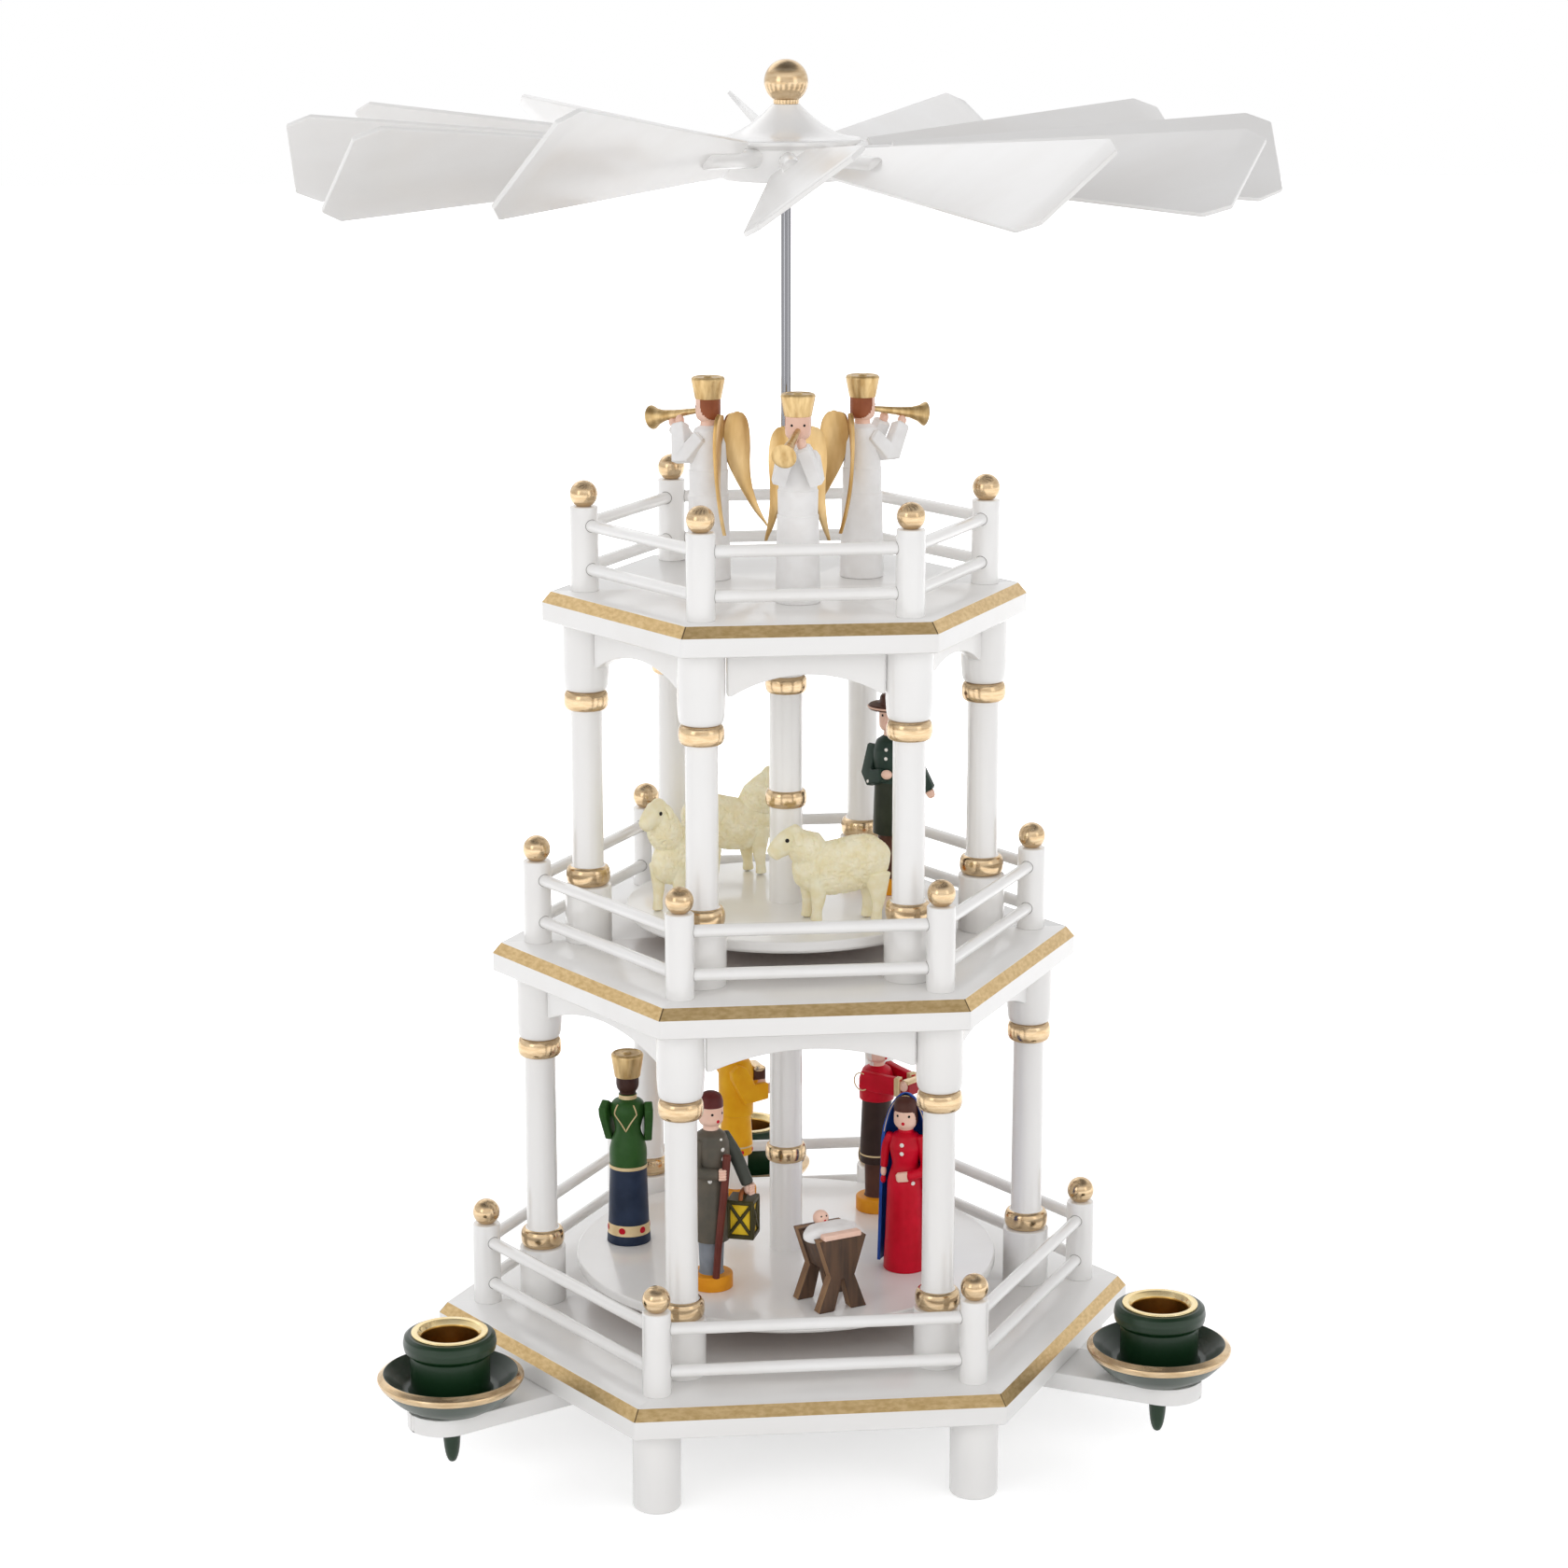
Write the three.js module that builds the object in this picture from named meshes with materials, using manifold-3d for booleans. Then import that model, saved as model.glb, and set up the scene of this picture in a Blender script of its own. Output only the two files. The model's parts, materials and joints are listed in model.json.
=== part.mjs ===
// Christmas pyramid: warm air from three candles turns a bladed wheel and two figure discs inside a
// three-tiered hexagonal tower. Millimetres, +Z up, origin on the tower's axis where the feet stand.
// The hexagon has corners at 0, 60, 120 ... degrees, so one straight edge faces -Y, the front.

import * as THREE from "three";
import { mergeVertices } from "three/addons/utils/BufferGeometryUtils.js";
import Module from "manifold-3d";

const wasm = await Module();
wasm.setup();

// Clearances.
const GAP = 0.3; // between pieces that lie against each other or turn beside each other
const RUNNING_GAP = 1.2; // between a turning sleeve and the ceiling over it
const WELD = 1e-4; // points closer than this are one point
const BITE = 0.6; // how deep glued pieces of one node reach into each other

// Tower.
const CORNERS = 6;
const FOOT_RADIUS = 7.8;
const FOOT_HEIGHT = 28.3;
const FOOT_ROUNDING = 1.2;
const FOOT_INSET = 16; // foot's centre, in from the plate's corner
const PLATE_SIDE = 6.1; // upright part of a plate's edge
const BEVEL_HEIGHT = 3.6; // gilded bevel over it
const BEVEL_WIDTH = 3;
const BASE_RADIUS = 118; // plates are measured to their corners
const LOWER_STEP = 20.2; // how far the middle plate's corners stand in from the base plate's
const UPPER_STEP = 18; // and the top plate's from the middle plate's
const BASE_POST_INSET = 16.6; // fence post centre, in from the plate's corner
const MIDDLE_POST_INSET = 15.2;
const TOP_POST_INSET = 14.1;
const LOWER_STOREY = 115.7; // from a deck to the ceiling over it
const UPPER_STOREY = 107.8;
const SHAFT_HOLE_RADIUS = 2.4;

// Columns.
const COLUMN_RADIUS = 5.2;
const PEDESTAL_RADIUS = 7.7;
const PEDESTAL_HEIGHT = 19.2;
const RING_RADIUS = 7.3;
const RING_HEIGHT = 6.2;
const RING_CREASE = 5.9; // radius of the groove beside a gilded ring
const RING_SHOULDER = 1.6;
const CAPITAL_RADIUS = 7.6;
const CAPITAL_HEIGHT = 23.4;
const CAPITAL_ROUNDING = 4;

// Arch boards under the middle and top plates.
const ARCH_END_DEPTH = 14.5;
const ARCH_CROWN_DEPTH = 8;
const ARCH_THICKNESS = 4;
const ARCH_LAND = 1.5; // straight stretch beside each capital

// Fences.
const POST_RADIUS = 4.6;
const POST_HEIGHT = 27.4;
const BALL_RADIUS = 4.5;
const BALL_SINK = 0.35; // how far a ball sits in its post
const RAIL_RADIUS = 2;
const LOW_RAIL = 7.4;
const HIGH_RAIL = 21.6;

// Candle arms and holders.
const ARM_COUNT = 3;
const ARM_WIDTH = 23.6;
const ARM_THICKNESS = 5.7;
const ARM_LAP = 42.2; // how far an arm reaches in under the base plate
const HOLDER_REACH = 31.1; // from the base plate's side out to the holder's centre
const ARM_END_REACH = 2.7; // from there to the centre of the arm's round end
const PEG_RADIUS = 3;
const PEG_TIP = 8.8; // height of the peg's tip over the floor
const PEG_TAPER = 13;
const DISH_FOOT_RADIUS = 12.9;
const DISH_BULGE_RADIUS = 18;
const DISH_BULGE_HEIGHT = 3.2;
const DISH_RADIUS = 23.8;
const DISH_HEIGHT = 11.6;
const DISH_BAND = 3.4; // height of the gilded band round the dish
const DISH_BAND_WIDTH = 2.4;
const DISH_FLOOR = 5;
const CUP_RADIUS = 12.8;
const CUP_HEIGHT = 24.8;
const COLLAR_RADIUS = 15;
const COLLAR_HEIGHT = 6;
const CUP_FLOOR = 9.5;
const CANDLE_RADIUS = 8.9;
const INSERT_WALL = 0.6;
const INSERT_RIM_WIDTH = 3.4;
const INSERT_LIP = 0.7; // how much the insert's mouth widens

// Turning gear.
const NEEDLE_RADIUS = 1.6;
const NEEDLE_TAPER = 3;
const BEARING_RADIUS = 4.8;
const BEARING_DEPTH = 8;
const BEARING_FLANGE_RADIUS = 7.5;
const BEARING_FLANGE = 1.2;
const BEARING_SEAT = 4; // depth of wall under the needle's tip
const BEARING_MOUTH = 3;
const DISC_THICKNESS = 4;
const DISC_ROUNDING = 1;
const LOWER_DISC_GAP = 3.9; // between the disc and the columns' pedestals
const LOWER_DISC_LIFT = 11.2; // from the deck to the disc's underside
const UPPER_DISC_GAP = 5;
const UPPER_DISC_LIFT = 7.7;
const SLEEVE_RADIUS = 5.5;
const SLEEVE_RING_RADIUS = 6.8;
const SLEEVE_RING_HEIGHT = 5.6;
const LOWER_SLEEVE_RING = 34.2; // ring centre over the disc
const UPPER_SLEEVE_RING = 35.2;
const CEILING_RING_DROP = 22.5; // centre of the sleeve's other ring, below the ceiling

// Wheel.
const BLADE_COUNT = 12;
const WHEEL_HEIGHT = 419.1; // height of the blades' pegs
const FIRST_BLADE = -94.3; // heading of the front blade, degrees
const BLADE_PITCH = [36, 36, 34, 37, 42, 41, 42, 43, 44, 43, 44, 49]; // set by hand, degrees from flat
const LIFTED_BLADE = 11; // this one stands a little high in its hole
const BLADE_LIFT = 2.4; // degrees
const BLADE_ROOT = 34;
const BLADE_ROOT_WIDTH = 14.2;
const BLADE_SHOULDER = 149;
const BLADE_SHOULDER_WIDTH = 41.6;
const BLADE_TIP = 156.8;
const BLADE_TIP_WIDTH = 32.4;
const BLADE_THICKNESS = 1.5;
const DOWEL_RADIUS = 3;
const DOWEL_END = 54;
const DOWEL_ROUNDING = 2;
const SOCKET_DEPTH = 6.9;
const DRUM_RADIUS = 21.4;
const DRUM_BELOW = 6.7; // drum's underside below the pegs
const DRUM_ABOVE = 3.5;
const HUB_RIM_RADIUS = 24;
const HUB_RIM_EDGE = 1;
const HUB_RIM_RISE = 2.8; // from the drum's top to the rim's top
const HUB_NECK_RADIUS = 4.4;
const HUB_RISE = 10.6; // from the rim to the neck's top
const NEEDLE_SEAT = 11; // how deep the needle reaches into the hub over the pegs' height
const FINIAL_RADIUS = 7;
const FINIAL_FOOT = 4.3;

// Figures: how far each stands in from its disc's edge, at which angle, and the heading it looks to.
const LOWER_FIGURES = {
  king_green: [16.94, 166.63, 77],
  king_yellow: [20.31, 103.9, 16],
  king_red: [21.22, 44.3, -46],
  red_dress_figure: [26.56, -32.7, -112],
  crib: [17.52, -80.85, -68],
  lantern_figure: [26.33, -129.6, -59],
};
const UPPER_FIGURES = {
  sheep_front: [22.55, -60.49, 174],
  sheep_left: [18.79, -175.5, 230],
  sheep_back: [13.06, 113.6, 8],
  shepherd: [15.86, 12.9, -115],
};
const WING_SPREAD = 53; // degrees between a wing and straight back
// Distance inside the upper fence's middle, angle, heading, the bell's height and the left wing's spread.
const ANGELS = {
  angel_front: [28.6, -88.6, -96, 49.8, WING_SPREAD],
  angel_right: [24.4, 33.2, 30, 52.6, WING_SPREAD],
  angel_left: [26.9, 141.9, 150, 51.6, 74],
};

// Sizes that follow from the ones above.
const MIDDLE_RADIUS = BASE_RADIUS - LOWER_STEP;
const TOP_RADIUS = MIDDLE_RADIUS - UPPER_STEP;
const EDGE_RATIO = Math.cos(Math.PI / CORNERS); // middle of a hexagon's side to its corner
const LOWER_COLUMN_CIRCLE = MIDDLE_RADIUS - MIDDLE_POST_INSET;
const UPPER_COLUMN_CIRCLE = TOP_RADIUS - TOP_POST_INSET;
const LOWER_DISC_RADIUS = LOWER_COLUMN_CIRCLE - PEDESTAL_RADIUS - LOWER_DISC_GAP;
const UPPER_DISC_RADIUS = UPPER_COLUMN_CIRCLE - PEDESTAL_RADIUS - UPPER_DISC_GAP;
const UPPER_FENCE_DISTANCE = UPPER_COLUMN_CIRCLE * EDGE_RATIO;
const ARM_INNER_END = BASE_RADIUS * EDGE_RATIO - ARM_LAP;
const HOLDER_DISTANCE = BASE_RADIUS * EDGE_RATIO + HOLDER_REACH;
const ARM_TIP_CENTRE = HOLDER_DISTANCE + ARM_END_REACH;
const PLATE_THICKNESS = PLATE_SIDE + BEVEL_HEIGHT;
const BASE_BOTTOM = FOOT_HEIGHT;
const BASE_DECK = BASE_BOTTOM + PLATE_THICKNESS;
const MIDDLE_BOTTOM = BASE_DECK + LOWER_STOREY;
const MIDDLE_DECK = MIDDLE_BOTTOM + PLATE_THICKNESS;
const TOP_BOTTOM = MIDDLE_DECK + UPPER_STOREY;
const TOP_DECK = TOP_BOTTOM + PLATE_THICKNESS;

const WHITE = { color: 0xf2f0ee, roughness: 0.38, metalness: 0 };
const GOLD = { color: 0xb08a4a, roughness: 0.36, metalness: 0.85 };
const GREEN = { color: 0x1f3a20, roughness: 0.4, metalness: 0 };
const BRASS = { color: 0xd2a95a, roughness: 0.25, metalness: 1 };
const STEEL = { color: 0xb9babd, roughness: 0.18, metalness: 1 };
const WOOL = { color: 0xefe6b8, roughness: 0.6, metalness: 0 };
const FOREST = { color: 0x33382a, roughness: 0.5, metalness: 0 };
const JACKET_GREEN = { color: 0x2a5a2a, roughness: 0.45, metalness: 0 };
const YELLOW = { color: 0xe2a20f, roughness: 0.45, metalness: 0 };
const RED = { color: 0xd50f2b, roughness: 0.42, metalness: 0 };
const GREY = { color: 0x5b5b52, roughness: 0.5, metalness: 0 };
const BROWN = { color: 0x5a4030, roughness: 0.65, metalness: 0 };

const model = new THREE.Group();

// A closed geometry: positions only, shared points merged, empty faces dropped, faces pointing out.
function closed(geometry) {
  const bare = geometry.index ? geometry.toNonIndexed() : geometry.clone();
  bare.deleteAttribute("normal");
  bare.deleteAttribute("uv");
  const merged = mergeVertices(bare, WELD);
  const faces = [];
  const index = merged.index.array;
  for (let i = 0; i < index.length; i += 3) {
    const [a, b, c] = index.slice(i, i + 3);
    if (a !== b && b !== c && c !== a) faces.push(a, b, c);
  }
  if (volume(merged, faces) < 0) faces.reverse();
  merged.setIndex(faces);
  return merged;
}

// Signed volume of the space inside the faces.
function volume(geometry, faces) {
  const p = geometry.attributes.position;
  const [a, b, c] = [new THREE.Vector3(), new THREE.Vector3(), new THREE.Vector3()];
  let sum = 0;
  for (let i = 0; i < faces.length; i += 3) {
    a.fromBufferAttribute(p, faces[i]);
    b.fromBufferAttribute(p, faces[i + 1]);
    c.fromBufferAttribute(p, faces[i + 2]);
    sum += a.dot(b.cross(c)) / 6;
  }
  return sum;
}

function toSolid(geometry) {
  const g = closed(geometry);
  const vertProperties = Float32Array.from(g.attributes.position.array);
  const triVerts = Uint32Array.from(g.index.array);
  return new wasm.Manifold(new wasm.Mesh({ numProp: 3, vertProperties, triVerts }));
}

function fromSolid(solid) {
  const mesh = solid.getMesh();
  const geometry = new THREE.BufferGeometry();
  geometry.setAttribute("position", new THREE.BufferAttribute(mesh.vertProperties, 3));
  geometry.setIndex(new THREE.BufferAttribute(mesh.triVerts, 1));
  return geometry;
}

function join(...geometries) {
  return fromSolid(geometries.map(toSolid).reduce((all, next) => all.add(next)));
}

function cut(geometry, ...tools) {
  return fromSolid(tools.map(toSolid).reduce((all, next) => all.subtract(next), toSolid(geometry)));
}

// A shape turned about Z from [radius, height] points; the first corner lies at the heading in degrees.
function turned(profile, sides, heading = 0) {
  const points = profile.map(([r, z]) => new THREE.Vector2(r, z));
  const start = THREE.MathUtils.degToRad(heading + 90);
  return new THREE.LatheGeometry(points, sides, start).rotateX(Math.PI / 2);
}

// A bar from one point to another, round or tapered.
function rod(from, to, radius, endRadius = radius, sides = 8) {
  const a = new THREE.Vector3(...from);
  const b = new THREE.Vector3(...to);
  const bar = new THREE.CylinderGeometry(endRadius, radius, a.distanceTo(b), sides);
  const up = new THREE.Vector3(0, 1, 0);
  const turn = new THREE.Quaternion().setFromUnitVectors(up, b.clone().sub(a).normalize());
  return bar.applyQuaternion(turn).translate(...a.add(b).multiplyScalar(0.5));
}

function ball(centre, radius, sides = 8) {
  return new THREE.SphereGeometry(radius, sides, sides / 2).rotateX(Math.PI / 2).translate(...centre);
}

function block(size, centre) {
  return new THREE.BoxGeometry(...size).translate(...centre);
}

// A board cut from an outline in x and y, its thickness running from z to z + thickness.
function board(outline, thickness, z, curveSegments = 8) {
  const options = { depth: thickness, bevelEnabled: false, curveSegments };
  return new THREE.ExtrudeGeometry(outline, options).translate(0, 0, z);
}

// An outline with straight sides through [x, y] points.
function outlineOf(points) {
  return new THREE.Shape(points.map(([x, y]) => new THREE.Vector2(x, y)));
}

function add(name, geometry, finish, x = 0, y = 0, z = 0, heading = 0) {
  const mesh = new THREE.Mesh(closed(geometry), new THREE.MeshStandardMaterial(finish));
  mesh.name = name;
  mesh.position.set(x, y, z);
  mesh.rotation.z = THREE.MathUtils.degToRad(heading);
  model.add(mesh);
  return mesh;
}

// x and y of a point at a distance from the axis and an angle in degrees.
function polar(distance, angle) {
  const a = THREE.MathUtils.degToRad(angle);
  return [distance * Math.cos(a), distance * Math.sin(a)];
}

const cornerAngles = Array.from({ length: CORNERS }, (_, i) => (i * 360) / CORNERS);

// Plates.

function plateBlank(radius) {
  const bevelled = radius - BEVEL_WIDTH;
  const profile = [
    [0, 0],
    [radius, 0],
    [radius, PLATE_SIDE],
    [bevelled, PLATE_THICKNESS],
    [0, PLATE_THICKNESS],
  ];
  return turned(profile, CORNERS);
}

function shaftHole(radius) {
  return rod([0, 0, -BITE], [0, 0, PLATE_THICKNESS + BITE], radius, radius, 16);
}

// One arch board hanging under a plate, between two capitals of a column circle.
function archBoard(columnCircle, side) {
  const half = columnCircle * Math.sin(Math.PI / CORNERS) - CAPITAL_RADIUS - GAP;
  const foot = half - ARCH_LAND;
  const rise = ARCH_END_DEPTH - ARCH_CROWN_DEPTH;
  const radius = (foot * foot + rise * rise) / (2 * rise);
  const centre = -ARCH_CROWN_DEPTH - radius;
  const swing = Math.asin(foot / radius);
  const outline = new THREE.Shape();
  outline.moveTo(-half, BITE);
  outline.lineTo(-half, -ARCH_END_DEPTH);
  outline.lineTo(-foot, -ARCH_END_DEPTH);
  outline.absarc(0, centre, radius, Math.PI / 2 + swing, Math.PI / 2 - swing, true);
  outline.lineTo(half, -ARCH_END_DEPTH);
  outline.lineTo(half, BITE);
  const upright = board(outline, ARCH_THICKNESS, columnCircle * EDGE_RATIO - ARCH_THICKNESS / 2);
  const heading = THREE.MathUtils.degToRad(((side + 0.5) * 360) / CORNERS);
  // Along the side, up, and outwards become the board's own x, y and z.
  return upright.rotateX(Math.PI / 2).rotateZ(Math.PI / 2 + heading);
}

function archedPlate(radius, columnCircle) {
  const boards = cornerAngles.map((_, side) => archBoard(columnCircle, side));
  return cut(join(plateBlank(radius), ...boards), shaftHole(SHAFT_HOLE_RADIUS));
}

function foot(angle) {
  const top = BITE;
  const profile = [
    [0, -FOOT_HEIGHT],
    [FOOT_RADIUS - FOOT_ROUNDING, -FOOT_HEIGHT],
    [FOOT_RADIUS, -FOOT_HEIGHT + FOOT_ROUNDING],
    [FOOT_RADIUS, top],
    [0, top],
  ];
  return turned(profile, 10).translate(...polar(BASE_RADIUS - FOOT_INSET, angle), 0);
}

const bearingPocket = rod(
  [0, 0, PLATE_THICKNESS - BEARING_DEPTH - GAP],
  [0, 0, PLATE_THICKNESS + BITE],
  BEARING_RADIUS + GAP,
  BEARING_RADIUS + GAP,
  16,
);

const footedBase = join(plateBlank(BASE_RADIUS), ...cornerAngles.map(foot));
add("base_plate", cut(footedBase, bearingPocket), WHITE, 0, 0, BASE_BOTTOM);
add("middle_plate", archedPlate(MIDDLE_RADIUS, LOWER_COLUMN_CIRCLE), WHITE, 0, 0, MIDDLE_BOTTOM);
add("top_plate", archedPlate(TOP_RADIUS, UPPER_COLUMN_CIRCLE), WHITE, 0, 0, TOP_BOTTOM);

// Columns, each turned from one piece: pedestal, gilded ring, shaft, gilded ring, capital.

function columnProfile(height) {
  const lowRing = PEDESTAL_HEIGHT;
  const highRing = height - CAPITAL_HEIGHT - RING_HEIGHT;
  const capital = height - CAPITAL_HEIGHT;
  return [
    [0, 0],
    [PEDESTAL_RADIUS, 0],
    [PEDESTAL_RADIUS, lowRing],
    [RING_RADIUS, lowRing + RING_SHOULDER],
    [RING_RADIUS, lowRing + RING_HEIGHT - RING_SHOULDER],
    [COLUMN_RADIUS, lowRing + RING_HEIGHT],
    [COLUMN_RADIUS, highRing],
    [RING_RADIUS, highRing + RING_SHOULDER],
    [RING_RADIUS, highRing + RING_HEIGHT - RING_SHOULDER],
    [RING_CREASE, capital],
    [CAPITAL_RADIUS, capital + CAPITAL_ROUNDING],
    [CAPITAL_RADIUS, height],
    [0, height],
  ];
}

for (const [tier, deck, storey, circle] of [
  ["lower", BASE_DECK, LOWER_STOREY, LOWER_COLUMN_CIRCLE],
  ["upper", MIDDLE_DECK, UPPER_STOREY, UPPER_COLUMN_CIRCLE],
]) {
  cornerAngles.forEach((angle, i) => {
    const column = turned(columnProfile(storey), 10);
    add(`column_${tier}_${i + 1}`, column, WHITE, ...polar(circle, angle), deck);
  });
}

// Fences: six posts with gilded balls, two rails a side.

function fence(circle) {
  const pieces = [];
  cornerAngles.forEach((angle, i) => {
    const [x, y] = polar(circle, angle);
    const next = polar(circle, cornerAngles[(i + 1) % CORNERS]);
    pieces.push(rod([x, y, 0], [x, y, POST_HEIGHT], POST_RADIUS));
    pieces.push(ball([x, y, POST_HEIGHT + BALL_RADIUS - BALL_SINK], BALL_RADIUS));
    for (const rail of [LOW_RAIL, HIGH_RAIL]) {
      pieces.push(rod([x, y, rail], [...next, rail], RAIL_RADIUS, RAIL_RADIUS, 6));
    }
  });
  return join(...pieces);
}

add("fence_base", fence(BASE_RADIUS - BASE_POST_INSET), WHITE, 0, 0, BASE_DECK);
add("fence_middle", fence(LOWER_COLUMN_CIRCLE), WHITE, 0, 0, MIDDLE_DECK);
add("fence_top", fence(UPPER_COLUMN_CIRCLE), WHITE, 0, 0, TOP_DECK);

// Candle arms under the base plate, each with a plugged-in holder and a brass insert.

function arm() {
  const half = ARM_WIDTH / 2;
  const outline = new THREE.Shape();
  outline.moveTo(ARM_INNER_END, -half);
  outline.lineTo(ARM_TIP_CENTRE, -half);
  outline.absarc(ARM_TIP_CENTRE, 0, half, -Math.PI / 2, Math.PI / 2, false);
  outline.lineTo(ARM_INNER_END, half);
  const hole = rod([HOLDER_DISTANCE, 0, -ARM_THICKNESS - BITE], [HOLDER_DISTANCE, 0, BITE], PEG_RADIUS + GAP);
  return cut(board(outline, ARM_THICKNESS, -ARM_THICKNESS, 10), hole);
}

// Heights are over the arm's top.
function holderProfile() {
  const tip = PEG_TIP - BASE_BOTTOM;
  const bandLow = DISH_HEIGHT - DISH_BAND;
  const cavity = CANDLE_RADIUS + INSERT_WALL + INSERT_LIP + GAP;
  const collar = CUP_HEIGHT - COLLAR_HEIGHT;
  return [
    [0, tip],
    [PEG_RADIUS * 0.6, tip + PEG_TAPER * 0.15],
    [PEG_RADIUS, tip + PEG_TAPER],
    [PEG_RADIUS, 0],
    [DISH_FOOT_RADIUS, 0],
    [DISH_BULGE_RADIUS, DISH_BULGE_HEIGHT],
    [DISH_RADIUS - DISH_BAND_WIDTH / 2, bandLow],
    [DISH_RADIUS, bandLow + DISH_BAND / 2],
    [DISH_RADIUS - DISH_BAND_WIDTH, DISH_HEIGHT],
    [CUP_RADIUS + DISH_BAND_WIDTH, DISH_FLOOR],
    [CUP_RADIUS, DISH_FLOOR],
    [CUP_RADIUS, collar],
    [COLLAR_RADIUS, collar + COLLAR_HEIGHT / 3],
    [COLLAR_RADIUS, CUP_HEIGHT - COLLAR_HEIGHT / 4],
    [COLLAR_RADIUS - COLLAR_HEIGHT / 4, CUP_HEIGHT],
    [cavity, CUP_HEIGHT],
    [cavity, CUP_FLOOR],
    [0, CUP_FLOOR],
  ];
}

// Heights are over the cup's top, where the insert's rim rests.
function insertProfile() {
  const floor = CUP_FLOOR - CUP_HEIGHT + GAP;
  const outside = CANDLE_RADIUS + INSERT_WALL;
  return [
    [0, floor],
    [outside, floor],
    [outside, -INSERT_LIP],
    [outside + INSERT_LIP, 0],
    [CANDLE_RADIUS + INSERT_RIM_WIDTH, 0],
    [CANDLE_RADIUS + INSERT_RIM_WIDTH, INSERT_WALL],
    [CANDLE_RADIUS + INSERT_LIP, INSERT_WALL],
    [CANDLE_RADIUS, -INSERT_LIP],
    [CANDLE_RADIUS, floor + INSERT_WALL],
    [0, floor + INSERT_WALL],
  ];
}

for (let i = 0; i < ARM_COUNT; i++) {
  const heading = 90 + (i * 360) / ARM_COUNT;
  const place = polar(HOLDER_DISTANCE, heading);
  add(`candle_arm_${i + 1}`, arm(), WHITE, 0, 0, BASE_BOTTOM, heading);
  add(`candle_holder_${i + 1}`, turned(holderProfile(), 16), GREEN, ...place, BASE_BOTTOM);
  add(`candle_insert_${i + 1}`, turned(insertProfile(), 16), BRASS, ...place, BASE_BOTTOM + CUP_HEIGHT);
}

// Turning gear: a bearing cup in the base, the needle shaft, two discs with sleeves.

const bearingProfile = [
  [0, -BEARING_DEPTH],
  [BEARING_RADIUS, -BEARING_DEPTH],
  [BEARING_RADIUS, 0],
  [BEARING_FLANGE_RADIUS, 0],
  [BEARING_FLANGE_RADIUS, BEARING_FLANGE],
  [BEARING_MOUTH, BEARING_FLANGE],
  [NEEDLE_RADIUS + GAP, 0],
  [NEEDLE_RADIUS + GAP, NEEDLE_TAPER + BEARING_SEAT - BEARING_DEPTH],
  [0, BEARING_SEAT - BEARING_DEPTH],
];
add("bearing_cup", turned(bearingProfile, 16), BRASS, 0, 0, BASE_DECK);

const needleTip = BASE_DECK - BEARING_DEPTH + BEARING_SEAT + GAP;
const needleTop = WHEEL_HEIGHT + NEEDLE_SEAT;
const needleProfile = [
  [0, needleTip],
  [NEEDLE_RADIUS, needleTip + NEEDLE_TAPER],
  [NEEDLE_RADIUS, needleTop],
  [0, needleTop],
];
add("needle_shaft", turned(needleProfile, 12), STEEL);

const shaftBore = NEEDLE_RADIUS + GAP;

function discProfile(radius) {
  return [
    [shaftBore, 0],
    [radius - DISC_ROUNDING, 0],
    [radius, DISC_ROUNDING],
    [radius, DISC_THICKNESS],
    [shaftBore, DISC_THICKNESS],
    [shaftBore, 0],
  ];
}

function sleeveRing(centre) {
  const half = SLEEVE_RING_HEIGHT / 2;
  const flat = half - RING_SHOULDER;
  return [
    [SLEEVE_RADIUS, centre - half],
    [SLEEVE_RING_RADIUS, centre - flat],
    [SLEEVE_RING_RADIUS, centre + flat],
    [SLEEVE_RADIUS, centre + half],
  ];
}

function sleeveProfile(height, ringCentre) {
  return [
    [shaftBore, 0],
    [SLEEVE_RADIUS, 0],
    ...sleeveRing(ringCentre),
    ...sleeveRing(height + RUNNING_GAP - CEILING_RING_DROP),
    [SLEEVE_RADIUS, height],
    [shaftBore, height],
    [shaftBore, 0],
  ];
}

const lowerDiscTop = BASE_DECK + LOWER_DISC_LIFT + DISC_THICKNESS;
const upperDiscTop = MIDDLE_DECK + UPPER_DISC_LIFT + DISC_THICKNESS;
const lowerSleeve = MIDDLE_BOTTOM - lowerDiscTop - RUNNING_GAP;
const upperSleeve = TOP_BOTTOM - upperDiscTop - RUNNING_GAP;

const lowerDisc = turned(discProfile(LOWER_DISC_RADIUS), 40);
const upperDisc = turned(discProfile(UPPER_DISC_RADIUS), 36);
add("turntable_lower", lowerDisc, WHITE, 0, 0, lowerDiscTop - DISC_THICKNESS);
add("turntable_upper", upperDisc, WHITE, 0, 0, upperDiscTop - DISC_THICKNESS);
add("sleeve_lower", turned(sleeveProfile(lowerSleeve, LOWER_SLEEVE_RING), 10), WHITE, 0, 0, lowerDiscTop);
add("sleeve_upper", turned(sleeveProfile(upperSleeve, UPPER_SLEEVE_RING), 10), WHITE, 0, 0, upperDiscTop);

// Wheel: hub, finial and twelve blades on dowels that plug into the hub. Heights are over the pegs.

const rimTop = DRUM_ABOVE + HUB_RIM_RISE;
const neckTop = rimTop + HUB_RISE;

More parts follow.
